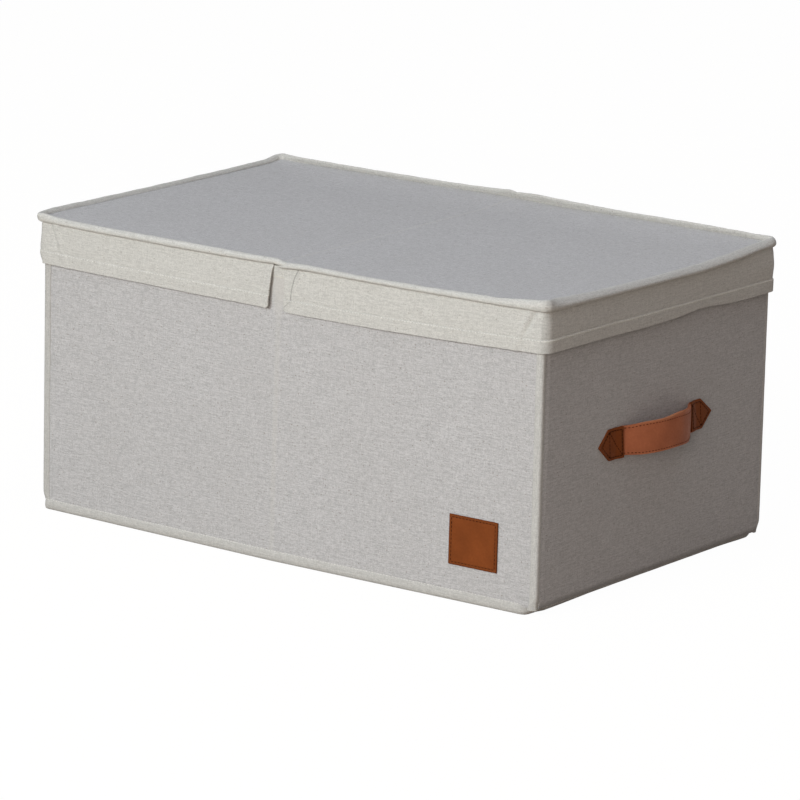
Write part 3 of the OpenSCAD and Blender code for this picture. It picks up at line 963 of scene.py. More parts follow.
class BOX_OT_handles(bpy.types.Operator):
    """Make the leather strap and its two pointed tabs on each end"""
    bl_idname = "storage_box.handles"
    bl_label = "Handles"

    # how square the arch is, how far the strap runs on under a tab, and its thickness
    arch_power = 2.5
    tuck = 7 * MM
    strap_t = 3 * MM
    # the tabs as sewn: root, shoulder and tip along the wall, half height and rise in mm, and skew
    tab_shapes = {FRONT: (59.6, 81.3, 98.0, 15.4, -0.6, 0.085),
                  BACK: (55.2, 75.0, 93.1, 15.0, 1.8, -0.128)}
    # how far a tab stands off at its root, over the strap, and the thickness of its leather
    tab_lift = 1.9 * MM
    tab_t = 1.8 * MM

    def execute(self, context):
        for side in (RIGHT, LEFT):
            self.strap(context, side)
            for face in (FRONT, BACK):
                self.tab(context, side, face)
        return {"FINISHED"}

    def strap_line(self):
        """The strap's outer face in plan, from under the front tab over the arch to under the back one."""
        root = TAB_ROOT
        y = np.concatenate([np.linspace(-root - self.tuck, -root, 6, endpoint=False),
                            root * np.sin(np.linspace(-math.pi / 2, math.pi / 2, 61)),
                            np.linspace(root, root + self.tuck, 7)[1:]])
        arch = (STRAP_OUT - TAB_OUT) * (1 - (np.abs(y) / root).clip(0, 1) ** self.arch_power)
        under = ease(np.abs(y), root - 2 * MM, root + 3 * MM)
        x = TAB_OUT + arch - 0.4 * MM * under
        thick = self.strap_t - 1.4 * MM * ease(np.abs(y), root - 8 * MM, root + 2 * MM)
        # its back root is sewn on a little nearer
        y = np.where(y > 0, y * self.tab_shapes[BACK][0] * MM / root, y)
        return np.stack([x, y], axis=1), thick

    @staticmethod
    def droop(y):
        """How far the used strap stands above its roots, or hangs below them toward the back."""
        return (0.8 * ease(-np.abs(y), -TAB_ROOT, -TAB_ROOT / 2) - 1.6 * hump(y, 36 * MM, 18 * MM)) * MM

    def lift(self, u):
        """How far a tab stands off the wall at a distance from its root."""
        return self.tab_lift * (1 - ease(u, 2 * MM, 12 * MM))

    def strap(self, context, side):
        line, thick = self.strap_line()
        direction = np.gradient(line, axis=0)
        direction /= np.linalg.norm(direction, axis=1, keepdims=True)
        outward = np.stack([direction[:, 1], -direction[:, 0]], axis=1)
        half = STRAP_HALF_W - 0.6 * MM
        across = np.linspace(-half, half, 13)
        crown = 0.45 * MM * (1 - (across / half) ** 2)
        round_up = [(0.15, 0.3), (0.5, 0.6), (0.85, 0.3)]
        # the section: share of the thickness, crown and height, up the outer face and down the inner one
        section = [*[(0, c, z) for c, z in zip(crown, across)],
                   *[(d, 0, half + e * MM) for d, e in round_up],
                   *[(1, c, z) for c, z in zip(crown[::-1], across[::-1])],
                   *[(1 - d, 0, -half - e * MM) for d, e in round_up]]
        share, crown, height = np.array(section).T
        out = crown - share * thick[:, None]
        narrow = (1 - 0.09 * ease(np.abs(line[:, 1]), TAB_ROOT - 22 * MM, TAB_ROOT - 2 * MM))[:, None]
        # its upper edge rises toward the back
        narrow = narrow * (1 + 0.13 * ease(line[:, 1], -0.02, 0.015)[:, None] * (height > 0))
        points = sweep(line, outward, out, STRAP_Z + self.droop(line[:, 1])[:, None] + height * narrow)
        points = np.concatenate([points, points[:, :1]], axis=1)
        points[..., 0] *= side
        name = f"{SIDE_NAMES[side]}_strap"
        piece = lay(name, points, closed=True, cover_ends=True)
        now = read_points(piece)
        # painted shade over the strap's back part, where it turns away from the light; its raw edges are
        # pale tan
        edge = np.abs(now[:, 2] - STRAP_Z - self.droop(now[:, 1]))
        raw = 0.5 * np.exp(-(STRAP_HALF_W - edge).clip(0) / (0.6 * MM))
        mark_tone_and_painted_light(piece, 0.5 * ease(now[:, 1], -0.02, 0.05) - raw)
        dress(piece, "strap leather", None,
              [f"{SIDE_NAMES[side]}_handle_strap", f"{SIDE_NAMES[side]}_handle_strap_ends"])
        rows = []
        for level in (-1, 1):
            inner = slice(8, -8)
            plan = line[inner] + outward[inner] * 0.14 * MM
            z = STRAP_Z + self.droop(plan[:, 1]) + level * (STRAP_HALF_W - 2.6 * MM) * narrow[inner, 0]
            rows.append((at_height(plan, z) * (side, 1, 1), at_height(outward[inner], 0.0) * (side, 1, 1)))
        thread = sew(f"{name}_stitches", rows, context.scene.box_leather.stitch_pitch, "brown thread",
                     None, width=0.8 * MM, share=0.62)
        # its transform and its thread's are baked into their points
        for part in (piece, thread):
            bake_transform(part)

    def tab(self, context, side, face):
        """One pointed tab, drawn flat along u from its root and across v, then set against the wall."""
        node = f"{SIDE_NAMES[side]}_handle_tab_{FACE_NAMES[face]}"
        root, shoulder, tip_y, half, rise, _ = (value * MM for value in self.tab_shapes[face])
        skew = self.tab_shapes[face][5]
        reach, shoulder, level = tip_y - root, shoulder - root, STRAP_Z + rise
        us = steps((0, 3 * MM, shoulder, reach - 0.6 * MM), 1.2 * MM)
        vs = np.linspace(-1, 1, 25)
        u, v = np.meshgrid(us, vs, indexing="ij")
        width = np.where(u < shoulder, half, half * (reach - u) / (reach - shoulder))
        z = v * width
        slope = math.hypot(reach - shoulder, half) / (reach - shoulder)
        from_edge = np.minimum(u, (width - np.abs(z)) / np.where(u < shoulder, 1, slope))
        flat = np.stack([u, z, np.full_like(u, side + 2.0 * face)], axis=2)
        uneven = 0.10 * rumple(flat, 12 * MM) - 0.18 * hump(from_edge, 2.4 * MM, 0.6 * MM)
        x = TAB_OUT - self.tab_t / 2 + self.lift(u) + uneven * MM
        points = np.stack([side * x, face * (root + u + skew * z), level + z], axis=2)
        piece = lay(node.replace("handle_tab", "tab"), points, self.tab_t)
        burnish(piece, 0.35 * MM)
        now = read_points(piece)
        along = np.abs(now[:, 1]) - root - skew * (now[:, 2] - level)
        limit = np.where(along < shoulder, half, half * (reach - along) / (reach - shoulder))
        near = np.minimum(along, limit - np.abs(now[:, 2] - level))
        inset, tip_inset = 2.6 * MM, 5.2 * MM
        mark_tone_and_painted_light(piece, 0.5 * hump(near, inset, 0.8 * MM))
        dress(piece, "patch leather", "box", [node])
        # sewn round its border, across its shoulder, and once aslant
        corners = [(inset, -half + inset), (shoulder - 1.0 * MM, -half + inset), (reach - tip_inset, 0),
                   (shoulder - 1.0 * MM, half - inset), (inset, half - inset)]
        slanting = (corners[0], corners[3]) if face == FRONT else (corners[4], corners[1])
        runs = [*zip(corners, corners[1:] + corners[:1]), (corners[1], corners[3]), slanting]
        rows = []
        for start, end in runs:
            u, z = np.linspace(start, end, 24).T
            line = np.stack([side * (TAB_OUT + 0.06 * MM + self.lift(u)), face * (root + u + skew * z),
                             level + z], axis=1)
            rows.append((line, np.tile((float(side), 0.0, 0.0), (len(line), 1))))
        sew(f"{piece.name}_stitches", rows, context.scene.box_leather.stitch_pitch, "brown thread",
            "box", width=0.75 * MM, share=0.85)


class BOX_OT_floor_panel(bpy.types.Operator):
    """Make the fabric round the loose floor panel"""
    bl_idname = "storage_box.floor_panel"
    bl_label = "Floor panel"

    def execute(self, context):
        low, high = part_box("floor_panel_cover")
        inset = 0.4 * MM
        piece = block("panel_cover", [a + inset for a in low], [b - inset for b in high], 15 * MM, 10,
                      lambda x: True)
        apply_modifier(piece, "BEVEL", width=1.2 * MM, segments=4, limit_method="ANGLE")
        apply_modifier(piece, "SOLIDIFY", thickness=0.7 * MM, offset=0)
        bpy.ops.object.mode_set(mode="EDIT")
        bpy.ops.mesh.select_all(action="SELECT")
        bpy.ops.uv.cube_project(cube_size=1.0, correct_aspect=False)
        bpy.ops.object.mode_set(mode="OBJECT")
        dress(piece, "inner fabric", "floor_panel", ["floor_panel_cover"])
        margin = 7 * MM
        line, _ = whole_loop(high.x - margin, high.y - margin, 9 * MM, 6, (60, 40))
        row = (at_height(line, high.z - 0.03 * MM), np.tile((0.0, 0.0, 1.0), (len(line), 1)))
        stitches = sew("panel_cover_stitches", [row], context.scene.box_fabric.stitch_pitch,
                       "cream thread", "floor_panel")
        return {"FINISHED"}


# ---- the lid ----

def blend_half(piece):
    """Bakes a piece of the lid's transform into its points."""
    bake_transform(piece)


class BOX_OT_lid_tops(bpy.types.Operator):
    """Make the canvas on top of the lid and the strip under its fold"""
    bl_idname = "storage_box.lid_tops"
    bl_label = "Lid top"

    def execute(self, context):
        for side in (LEFT, RIGHT):
            self.top(side)
        low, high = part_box("lid_centre_strip")
        xs = np.linspace(low.x + 0.2 * MM, high.x - 0.2 * MM, 13)
        ys = steps((low.y + 0.3 * MM, high.y - 0.3 * MM), 5 * MM)
        x, y = np.meshgrid(xs, ys, indexing="ij")
        z = low.z + 0.35 * MM - 0.125 * MM * np.cos(x / FOLD_X * math.pi)
        strip = lay("centre_strip", np.stack([x, y, z], axis=2), 0.6 * MM)
        dress(strip, "grey canvas", "lid_middle", ["lid_centre_strip"])
        return {"FINISHED"}

    @staticmethod
    def top(side):
        edge = 12 * MM
        reach = LID_L - 0.6 * MM + float(overhang(side * LID_L))
        places = in_order(steps((0, 5 * MM), 0.4 * MM), steps((5 * MM, 16 * MM), 1 * MM),
                          steps((16 * MM, reach - edge), 5 * MM), steps((reach - edge, reach), 1.5 * MM))
        shares = places / reach
        depth = LID_D + 0.4 * MM
        ys = finer_at_ends(-depth, depth, edge, 1.5 * MM, 5 * MM)
        share, y = np.meshgrid(shares, ys, indexing="ij")
        # the halves lap a hair over the fold, and the right one ends short of the left one's hinge
        start = np.maximum(seam_x(y), -5.5 * MM) - side * 0.3 * MM
        x = start + share * (side * reach - start)
        from_edge = np.minimum(reach - np.abs(x), depth - np.abs(y))
        flat = np.stack([x, y, np.zeros_like(x)], axis=2)
        z = LID_UP - CANVAS / 2 + 0.10 * MM + 0.10 * MM * rumple(flat, 40 * MM)
        z += 0.5 * MM * (rumple(flat, 130 * MM, 0.7) + 0.35).clip(0) * ease(from_edge, 0, 50 * MM)
        # drawn up with the piping where that stands high, less at the middle of the back, where it sags
        high = (edge_height(x, y, PIPING_TOP) - 296.5 * MM).clip(0)
        loose = 0.38 * hump(x, 45 * MM, 50 * MM) * ease(y, 60 * MM, 185 * MM)
        pull = 0.36 * (1 - ease(from_edge, 2 * MM, 65 * MM)) + 0.09 * (1 - ease(from_edge, 0, 7 * MM))
        z += high * (1 - loose) * pull
        # the sewn fold stands up a little
        z += 0.16 * MM * hump(x, seam_x(y), 1.1 * MM) - 0.03 * MM * (side == LEFT)
        points = np.stack([x, y, z], axis=2)
        if side == LEFT:
            points = points[::-1]
        name = SIDE_NAMES[side]
        piece = lay(f"{name}_lid_canvas", points, CANVAS)
        now = read_points(piece)
        # it is painted with a highlight along the fold, where its ridge would catch light, with some wear
        # there, and with painted shade in the groove beside the left end's piping
        pale = 0.9 * hump(now[:, 0], seam_x(now[:, 1]), 0.8 * MM)
        groove = 0.8 * hump(now[:, 0], -reach, 1.6 * MM) * (side == LEFT)
        mark_tone_and_painted_light(piece, groove - pale)
        dress(piece, "grey canvas", None, [f"lid_{name}_top"])
        blend_half(piece)


class BOX_OT_lid_linings(bpy.types.Operator):
    """Make the inner fabric under the lid"""
    bl_idname = "storage_box.lid_linings"
    bl_label = "Lid lining"

    def execute(self, context):
        for side in (LEFT, RIGHT):
            xs = np.concatenate([steps((0, 16 * MM), 1 * MM)[:-1], steps((16 * MM, LID_L), 5 * MM)])
            ys = steps((-LID_D, LID_D), 5 * MM)
            x, y = np.meshgrid(xs, ys, indexing="ij")
            # it sags inside the walls, and lies under the rim elsewhere
            inside = ease(np.minimum(HALF_L - WALL_T - x, HALF_D - WALL_T - np.abs(y)), 2 * MM, 30 * MM)
            flat = np.stack([x, y, np.full_like(x, side + 5.0)], axis=2)
            z = LID_LOW + 0.5 * MM - inside * 0.35 * MM * (1 + rumple(flat, 60 * MM))
            z -= 0.3 * MM * hump(x, 0, 1.5 * MM)
            points = np.stack([side * x, y, z], axis=2)
            name = SIDE_NAMES[side]
            piece = lay(f"{name}_lid_lining", points if side == LEFT else points[::-1], 0.6 * MM)
            dress(piece, "inner fabric", None, [f"lid_{name}_lining"])
            blend_half(piece)
        return {"FINISHED"}


class BOX_OT_piping(bpy.types.Operator):
    """Make the piping round the lid"""
    bl_idname = "storage_box.piping"
    bl_label = "Lid piping"

    def execute(self, context):
        half_thick = 0.5 * PIPING_OUT + 0.9 * MM
        angles = np.linspace(0, 2 * math.pi, 17)
        for side in (LEFT, RIGHT):
            # the ends overlap a little askew over the fold, the left one on top
            reach_over = 6 * MM if side == RIGHT else 2 * MM
            line, outward = end_loop(side, -reach_over, LID_L + half_thick - 0.5 * MM,
                                     LID_D + half_thick - 0.5 * MM, 6.5 * MM)
            x, y = line.T
            # at the back they only meet, because the edge stands higher above the hinges there
            meeting = np.interp(side * x, (-reach_over, 10 * MM), (0.5 * MM, 10 * MM))
            x = np.where((y > 0) & (side * x < 10 * MM), side * meeting, x)
            line = np.stack([x, y], axis=1)
            low, high = edge_height(x, y, PIPING_LOW), edge_height(x, y, PIPING_TOP)
            # the left one rises and the right one dips where they lap, and both droop past it
            past = -side * (x + 3 * MM)
            lap, droop = 1 - ease(-past, 4 * MM, 30 * MM), ease(past, -9 * MM, 5 * MM)
            kink = (-side * 1.1 * lap - 1.6 * droop) * MM
            kink = np.where(y > 0, 0.4 * kink, kink)
            flat = np.stack([x, y, 0 * x + side], axis=1)
            wave = 0.3 * MM * rumple(flat, 26 * MM, 3.0)
            girth = (1 + 0.07 * rumple(flat, 11 * MM, 9.0)) * (1 - 0.3 * ease(past, -6 * MM, 5 * MM))
            middle, half_high = (low + high) / 2 + kink + 0.5 * wave, (high - low) / 2
            offsets = half_thick * np.cos(angles) * girth[:, None]
            offsets = offsets + (wave + overhang(x) * np.abs(outward[:, 0]))[:, None]
            heights = middle[:, None] + np.sin(angles) * (half_high * girth)[:, None]
            # its upper part leans in, most at the right end, but out at the left one; corners are upright
            lean = (0.35 + 0.65 * ease(outward[:, 0], 0.2, 0.9) - 0.8 * ease(-outward[:, 0], 0.2, 0.9)
                    + 0.45 * ease(outward[:, 1], 0.2, 0.9))
            from_corner = np.hypot(np.abs(x) - LID_L, np.abs(y) - LID_D)
            lean = lean * (1 - 0.8 * hump(from_corner, 0, 14 * MM))
            offsets = offsets - lean[:, None] * (heights - (middle - 0.3 * half_high)[:, None]).clip(0)
            points = sweep(line, outward, offsets, heights)
            name = SIDE_NAMES[side]
            piece = lay(f"{name}_lid_piping", points[:, ::-1], closed=True, cover_ends=True)
            dress(piece, "cream canvas", None, [f"lid_{name}_piping"], sharp=70)
            blend_half(piece)
        return {"FINISHED"}


class BOX_OT_skirts(bpy.types.Operator):
    """Make the skirt round each half of the lid, with its stitched hem"""
    bl_idname = "storage_box.skirts"
    bl_label = "Lid skirts"

    radius = 7.5 * MM
    half_l, half_d = LID_L + SKIRT_T / 2, LID_D + SKIRT_T / 2
    # from the lower edge to the top, and how far that is sewn in behind the piping
    drop, behind_piping = 45 * MM, 2.2 * MM
    # the stretch beside each free end that carries thin lines
    free_part = 22 * MM
    # heights and places of the line where the right one is folded under beside the lid's fold
    fold_under = np.array([(249.4, -1.5), (258, 8), (269, 8.9), (281, 11.6), (288, 15)]).T * MM

    def execute(self, context):
        for side in (LEFT, RIGHT):
            self.skirt(context, side)
        return {"FINISHED"}

    def corner_distance(self, x, y):
        """How far a place is from the nearest corner of the skirt's line."""
        return np.hypot(np.abs(x) - self.half_l, np.abs(y) - self.half_d)

    @staticmethod
    def lower_edge(x, y):
        """Height of the skirt's lower edge, which hangs lowest near the fold."""
        middle = np.where(x > 0, 246.6 * MM, 248.0 * MM)
        front_right = ease(x, 0, LID_L) * ease(-y, -LID_D, LID_D)
        corner = 250.3 * MM + 2.9 * MM * front_right
        return middle + (corner - middle) * np.clip(np.abs(x) / LID_L, 0, 1) ** 1.6

    def columns(self, side):
        """Its line in plan, outward directions and the distance along it, from free end to free end."""
        low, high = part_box(f"lid_{SIDE_NAMES[side]}_skirt_front")
        free_end = low.x - 1.5 * MM if side == RIGHT else -high.x - 3 * MM
        line, outward = end_loop(side, free_end, self.half_l, self.half_d, self.radius, 2.6 * MM)
        # more columns beside the free ends and the corners
        run, fine = lengths(line), steps((0, self.free_part), 0.6 * MM)
        margin = self.free_part + 1 * MM
        between = run[(run > margin) & (run < run[-1] - margin)]
        by_corner = np.interp(between, run, self.corner_distance(*line.T)) < 26 * MM
        between = np.sort(np.concatenate([between, between[by_corner] + 1.3 * MM]))
        at = np.concatenate([fine, between, run[-1] - fine[::-1]])
        line, outward = (np.stack([np.interp(at, run, part[:, axis]) for axis in (0, 1)], axis=1)
                         for part in (line, outward))
        return line, outward / np.linalg.norm(outward, axis=1, keepdims=True), at

    def rows(self, line, to_free, hem):
        """Its rows' levels, and the height of every point over the table and over the lower edge."""
        x, y = line.T
        edge = self.lower_edge(x, y)[:, None]
        top = edge_height(x, y, PIPING_LOW)[:, None] + self.behind_piping
        seam_low, seam_high = hem - 1.2 * MM, hem + 1.6 * MM
        levels = np.concatenate([steps((0, seam_low), 0.9 * MM)[:-1],
                                 steps((seam_low, seam_high), 0.35 * MM)[:-1],
                                 steps((seam_high, self.drop), 1.5 * MM)])
        above = levels + (top - edge - levels[-1]) * ease(levels, hem, levels[-1])
        height = edge + above
        # its lower edge is bent up at one place on the right end
        pressed = hump(y, 64 * MM, 38 * MM) * (x > LID_L - 2 * MM)
        height = height + 3.4 * MM * pressed[:, None] * (1 - ease(levels, 0, hem))
        # and has a round corner at each free end
        corner = 4 * MM
        over = (corner - to_free).clip(0) / corner
        rise = (1 - np.sqrt(1 - (0.98 * over) ** 2)) * corner
        return levels, height + rise * (1 - ease(above, 0, 2.5 * corner)), above

    def standing_out(self, lid, side, line, outward, to_free, height, above):
        """How far each point stands out from the line."""
        x, y = line.T
        left_end = ease(-outward[:, :1], 0.2, 0.9)
        right_end = ease(outward[:, :1], 0.2, 0.9)
        is_front = (y < 0)[:, None]
        place = np.stack([np.broadcast_to(x[:, None], height.shape),
                          np.broadcast_to(y[:, None], height.shape), height], axis=2)
        down = 1 - ease(above, 6 * MM, 40 * MM)
        flare = lid.skirt_flare * down + 0.8 * MM * (1 - ease(above, 22 * MM, 40 * MM))
        out = 0.3 * MM + flare * (1 - 0.8 * left_end) + (overhang(x) * np.abs(outward[:, 0]))[:, None]
        # at its free ends the left one stands off the wall and the right one lies on it
        stands = 1.1 * MM if side == LEFT else -0.5 * MM
        freed = np.exp(-to_free / (9 * MM)) * (1 - ease(above, 34 * MM, 42 * MM))
        out = out + stands * freed * np.where(is_front, 1, 0.5)
        # the left end bulges and its hem curls in, and the back right corner stands out above
        out = out - 2.0 * MM * left_end * (1 - ease(above, 0, 9 * MM))
        out = out + 1.1 * MM * left_end * hump(above, 15 * MM, 11 * MM)
        back_corner = right_end * ease(y, 120 * MM, 190 * MM)[:, None]
        out = out + 2.2 * MM * back_corner * ease(above, 10 * MM, 30 * MM)
        out = out + down * (0.9 * (rumple(place, 55 * MM, 1.0 * side) + 0.2).clip(-0.5)
                            + 0.25 * rumple(place, 15 * MM, 6.0)) * MM
        # puckers under the piping, strongest beside the corners
        beside = hump(self.corner_distance(x, y), 6 * MM, 14 * MM)[:, None]
        puckers = ease(above, 18 * MM, 44 * MM) * rumple(place * (1, 1, 0.25), 6.5 * MM, 2.0)
        out = out + (0.18 + 0.5 * beside) * MM * puckers
        out = out - 0.8 * MM * ease(above, 37 * MM, 43 * MM)
        # a pulled fold runs down from each corner, on the front and the back
        from_corner = (self.corner_distance(x, y) * (np.abs(x) < self.half_l))[:, None]
        fold = from_corner - 9 * MM - 0.45 * (43 * MM - above).clip(0)
        valley = hump(fold, 0, 3.0 * MM) * ease(above, 12 * MM, 26 * MM)
        out = out + (0.9 * hump(fold, 5 * MM, 3.0 * MM) - 1.9 * valley) * MM * (from_corner > 0)
        # the folded hem is a little thicker, most on the right end, and its seam draws in
        seam = above - lid.hem
        thicker = (0.4 + 0.6 * right_end) * (1 - ease(seam, -0.2 * MM, 1.1 * MM))
        out = out + (thicker - 0.2 * hump(seam, 1.2 * MM, 0.6 * MM)) * MM
        # the cloth is folded under beside the fold of the lid, and mitred at the hem
        if side == RIGHT:
            drawn = np.abs(x)[:, None] - np.interp(height, *self.fold_under)
        else:
            drawn = to_free - np.minimum(above, lid.hem)
        return out - 0.3 * MM * hump(drawn, 0, 0.7 * MM) * (to_free < self.free_part)

    def marks(self, piece, side, hem):
        """Painted shade in thin lines in the folds and at the front right corner's turn, and a painted
        highlight along the hem's seam on the ends, where the hem's edge catches light.
        """
        x, y, z = read_points(piece).T
        fold_x = np.interp(z, *self.fold_under)
        # painted shade in the line where the right one is folded under
        dark = hump(x, fold_x, 0.5 * MM) * (side == RIGHT) * (y < 0)
        dark = dark * (0.85 + 0.5 * rumple(np.stack([x, y, z], axis=1), 7 * MM).clip(-0.6, 1))
        # the front right corner is sewn at an edge before it turns; the shade of that turn is painted on
        turned = ease(x, LID_L - 2.6 * MM, LID_L - 1.8 * MM) * (y < 0)
        dark += 0.24 * turned * (1 - ease(y, -LID_D - 0.4 * MM, -LID_D + 5.1 * MM))
        # painted highlight along the hem's seam on the ends, where the folded edge catches light
        seam_z = self.lower_edge(x, y) + hem + 0.2 * MM
        mark_tone_and_painted_light(piece, dark - hump(z, seam_z, 0.7 * MM) * (np.abs(x) > LID_L))

    def skirt(self, context, side):
        """One half's skirt, from one free end beside the fold round its end to the other."""
        lid = context.scene.box_lid
        name = SIDE_NAMES[side]
        line, outward, run = self.columns(side)
        to_free = np.minimum(run, run[-1] - run)[:, None]
        levels, height, above = self.rows(line, to_free, lid.hem)
        out = self.standing_out(lid, side, line, outward, to_free, height, above)
        points = sweep(line, outward, out, height)
        if side == LEFT:
            # its free end slants out to the left, most above the hem
            up = ((height - 249 * MM) / (40 * MM)).clip(0, 1)
            slant = 2.6 * MM * (1 - up ** 1.6) * (1 - to_free / (30 * MM)).clip(0)
            points[..., 0] -= slant * (line[:, 1:] < 0)
        piece = lay(f"{name}_lid_skirt", points, SKIRT_T - 0.2 * MM)
        self.marks(piece, side, lid.hem)
        body = f"lid_{name}"
        dress(piece, "cream canvas", body,
              [f"lid_{name}_skirt_{part}" for part in ("front", "end", "back")])
        row = int(np.argmin(np.abs(levels - lid.hem)))
        inner = slice(5, -5)
        normal = at_height(outward, 0.0)[inner]
        seam_line = points[inner, row] + normal * (SKIRT_T / 2 - 0.12 * MM)
        stitches = sew(f"{name}_lid_skirt_stitches", [(seam_line, normal)],
                       context.scene.box_fabric.stitch_pitch, "cream thread", body)


# ---- the stage ----

AIM_AT = Vector((0, 0, 0.15))
WHITE = (1, 1, 1, 1)
FLOOR_COLOUR = (0.40, 0.345, 0.29, 1)
LOW_SKY, HIGH_SKY = (1.0, 0.80, 0.71), (0.90, 0.95, 1.0)


class BOX_OT_stage(bpy.types.Operator):
    """Set up the camera, the soft light and the pale floor"""
    bl_idname = "storage_box.stage"
    bl_label = "Stage"

    # where the camera stood, fitted to the box's straight edges
    azimuth, elevation, roll = 36.308, 13.679, 1.367
    place = (3.001584, -4.088642, 1.359696)
    lens = 238.58

    def execute(self, context):
        scene = context.scene
        scene.view_settings.view_transform = "Standard"
        camera = bpy.data.objects.new("camera", bpy.data.cameras.new("camera"))
        scene.collection.objects.link(camera)
        camera.location = self.place
        turn = Euler((math.radians(90 - self.elevation), 0, math.radians(self.azimuth))).to_quaternion()
        camera.rotation_mode = "QUATERNION"
        camera.rotation_quaternion = turn @ Quaternion((0, 0, 1), math.radians(self.roll))
        camera.data.lens = self.lens
        camera.data.sensor_width = 36
        camera.data.clip_end = 50
        scene.camera = camera
        self.world(scene)
        self.floor()
        settings = scene.box_stage
        self.lamp("key", (-0.3, -3.9, 1.9), 1.4, settings.key, (0.90, 0.965, 1.0))
        self.lamp("overhead", (0.1, 0.3, 3.3), 2.6, settings.top, (0.86, 0.87, 0.975))
        self.lamp("side", (1.7, -4.0, 1.4), 1.6, settings.side, (1.0, 0.87, 0.80))
        return {"FINISHED"}

    @staticmethod
    def lamp(name, place, size, strength, colour):
        """A square soft light that faces the box; strength is the share of full light it gives there."""
        light = bpy.data.lights.new(name, "AREA")
        light.size = size
        light.color = colour
        lamp = bpy.data.objects.new(name, light)
        lamp.location = place
        aim = AIM_AT - Vector(place)
        lamp.rotation_euler = aim.to_track_quat("-Z", "Y").to_euler()
        light.energy = strength * math.pi * aim.length_squared
        bpy.context.scene.collection.objects.link(lamp)

    @staticmethod
    def world(scene):
        """A pale surround that lights evenly, and that the camera and gloss see as white."""
        world = bpy.data.worlds.new("surround")
        scene.world = world
        world.use_nodes = True
        tree = world.node_tree
        even = tree.nodes["Background"]
        # warm near the floor, cooler overhead, and dimmer behind
        toward = add_node(tree, "ShaderNodeTexCoord").outputs["Generated"]
        toward = add_node(tree, "ShaderNodeSeparateXYZ", {0: toward})
        height = spread(tree, toward.outputs[2], 0.05, 0.75, 0.0, 1.0)
        tree.links.new(tint(tree, height, LOW_SKY, HIGH_SKY), even.inputs["Color"])
        behind = spread(tree, toward.outputs[1], -0.6, 0.9, 1.12, 0.78)
        tree.links.new(maths(tree, "MULTIPLY", behind, scene.box_stage.fill), even.inputs["Strength"])
        white = add_node(tree, "ShaderNodeBackground", {"Color": WHITE, "Strength": 1.0})
        path = add_node(tree, "ShaderNodeLightPath")
        seen = maths(tree, "MAXIMUM", path.outputs["Is Camera Ray"], path.outputs["Is Transmission Ray"])
        mixed = add_node(tree, "ShaderNodeMixShader", {0: seen, 1: even.outputs[0], 2: white.outputs[0]})
        tree.links.new(mixed.outputs[0], tree.nodes["World Output"].inputs["Surface"])

    @staticmethod
    def floor():
        """A floor that the camera and gloss see nearly white, and that gives a little warm light back."""
        clear_selection()
        bpy.ops.mesh.primitive_grid_add(x_subdivisions=4, y_subdivisions=4, size=14)
        floor = bpy.context.object
        floor.name = "floor"
        material = bpy.data.materials.new("floor")
        material.use_nodes = True
        tree = material.node_tree
        shader = tree.nodes["Principled BSDF"]
        shader.inputs["Base Color"].default_value = FLOOR_COLOUR
        shader.inputs["Roughness"].default_value = 1
        shader.inputs["Specular IOR Level"].default_value = 0
        white = add_node(tree, "ShaderNodeEmission", {"Color": WHITE, "Strength": 1.045})
        path = add_node(tree, "ShaderNodeLightPath")
        seen = maths(tree, "MAXIMUM", path.outputs["Is Camera Ray"], path.outputs["Is Glossy Ray"])
        seen = maths(tree, "MAXIMUM", seen, path.outputs["Is Transmission Ray"])
        seen = maths(tree, "MULTIPLY", seen, 0.94)
        mixed = add_node(tree, "ShaderNodeMixShader", {0: seen, 1: shader.outputs[0], 2: white.outputs[0]})
        tree.links.new(mixed.outputs[0], tree.nodes["Material Output"].inputs["Surface"])
        floor.data.materials.append(material)


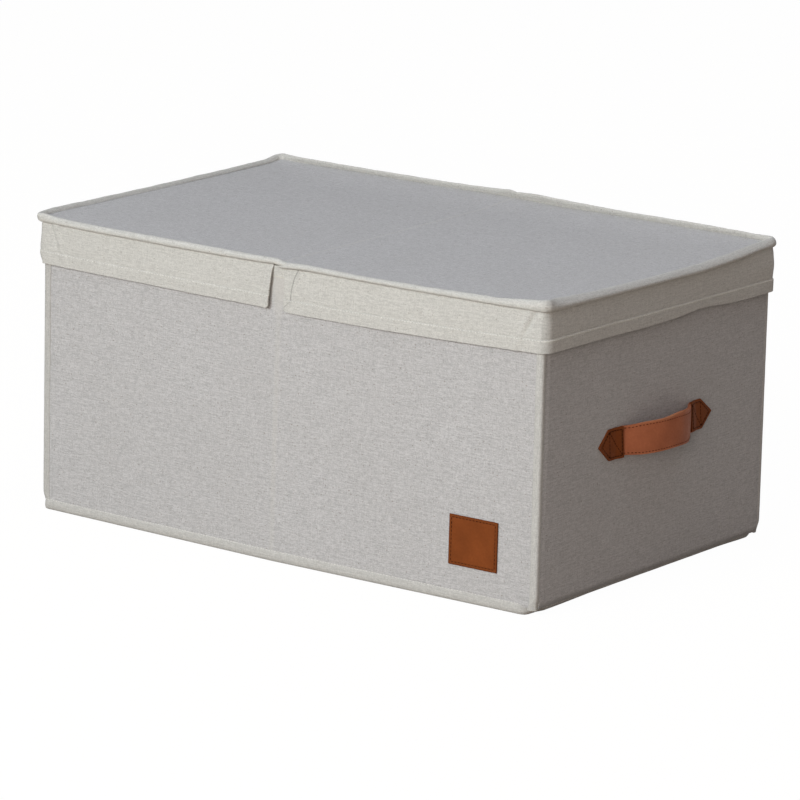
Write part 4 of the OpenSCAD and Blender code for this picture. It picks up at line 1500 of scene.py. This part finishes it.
class BOX_OT_finishes(bpy.types.Operator):
    """Mix the finishes of the cloth, the leather and the thread"""
    bl_idname = "storage_box.finishes"
    bl_label = "Finishes"

    def execute(self, context):
        fabric, leather = context.scene.box_fabric, context.scene.box_leather
        cloth_finish("grey canvas", fabric.grey, fabric.slub, 1.0, 0.5)
        cloth_finish("cream canvas", fabric.cream, 0.75 * fabric.slub, 0.8, 0.5)
        cloth_finish("binding canvas", fabric.binding, 0.75 * fabric.slub, 0.3, 0.5)
        cloth_finish("inner fabric", fabric.inner, 0.2 * fabric.slub, 0.0, 0.25)
        leather_finish("strap leather", leather.strap, 0.5)
        leather_finish("patch leather", leather.patch, 0.55)
        # the cream thread is paler than the cloth, and made paler still as painted highlight for the hem's
        # edge catching light on the ends
        thread_finish("cream thread", shade(fabric.cream, 1.35))
        thread_finish("brown thread", BROWN_THREAD_COLOUR)
        return {"FINISHED"}


class BOX_PT_panel(bpy.types.Panel):
    """The steps that make the box, and its settings"""
    bl_label = "Storage box"
    bl_space_type = "VIEW_3D"
    bl_region_type = "UI"
    bl_category = "Storage box"

    def draw(self, context):
        for group in SETTINGS:
            settings = getattr(context.scene, group)
            for prop in settings.bl_rna.properties:
                if prop.identifier not in ("rna_type", "name"):
                    self.layout.prop(settings, prop.identifier)
        for operator in OPERATORS:
            self.layout.operator(operator.bl_idname)


SETTINGS = {
    "box_fabric": FabricSettings,
    "box_leather": LeatherSettings,
    "box_lid": LidSettings,
    "box_stage": StageSettings,
}
OPERATORS = (
    BOX_OT_stage, BOX_OT_finishes, BOX_OT_boards, BOX_OT_base, BOX_OT_walls, BOX_OT_welts, BOX_OT_lining,
    BOX_OT_rim, BOX_OT_patch, BOX_OT_handles, BOX_OT_floor_panel, BOX_OT_lid_tops, BOX_OT_lid_linings,
    BOX_OT_piping, BOX_OT_skirts,
)


def register():
    for cls in (*SETTINGS.values(), *OPERATORS, BOX_PT_panel):
        bpy.utils.register_class(cls)
    for name, cls in SETTINGS.items():
        setattr(bpy.types.Scene, name, PointerProperty(type=cls))


def unregister():
    for name in SETTINGS:
        delattr(bpy.types.Scene, name)
    for cls in (BOX_PT_panel, *reversed(OPERATORS), *reversed(SETTINGS.values())):
        bpy.utils.unregister_class(cls)


def main():
    register()
    for operator in OPERATORS:
        group, name = operator.bl_idname.split(".")
        getattr(getattr(bpy.ops, group), name)()


if __name__ == "__main__":
    main()
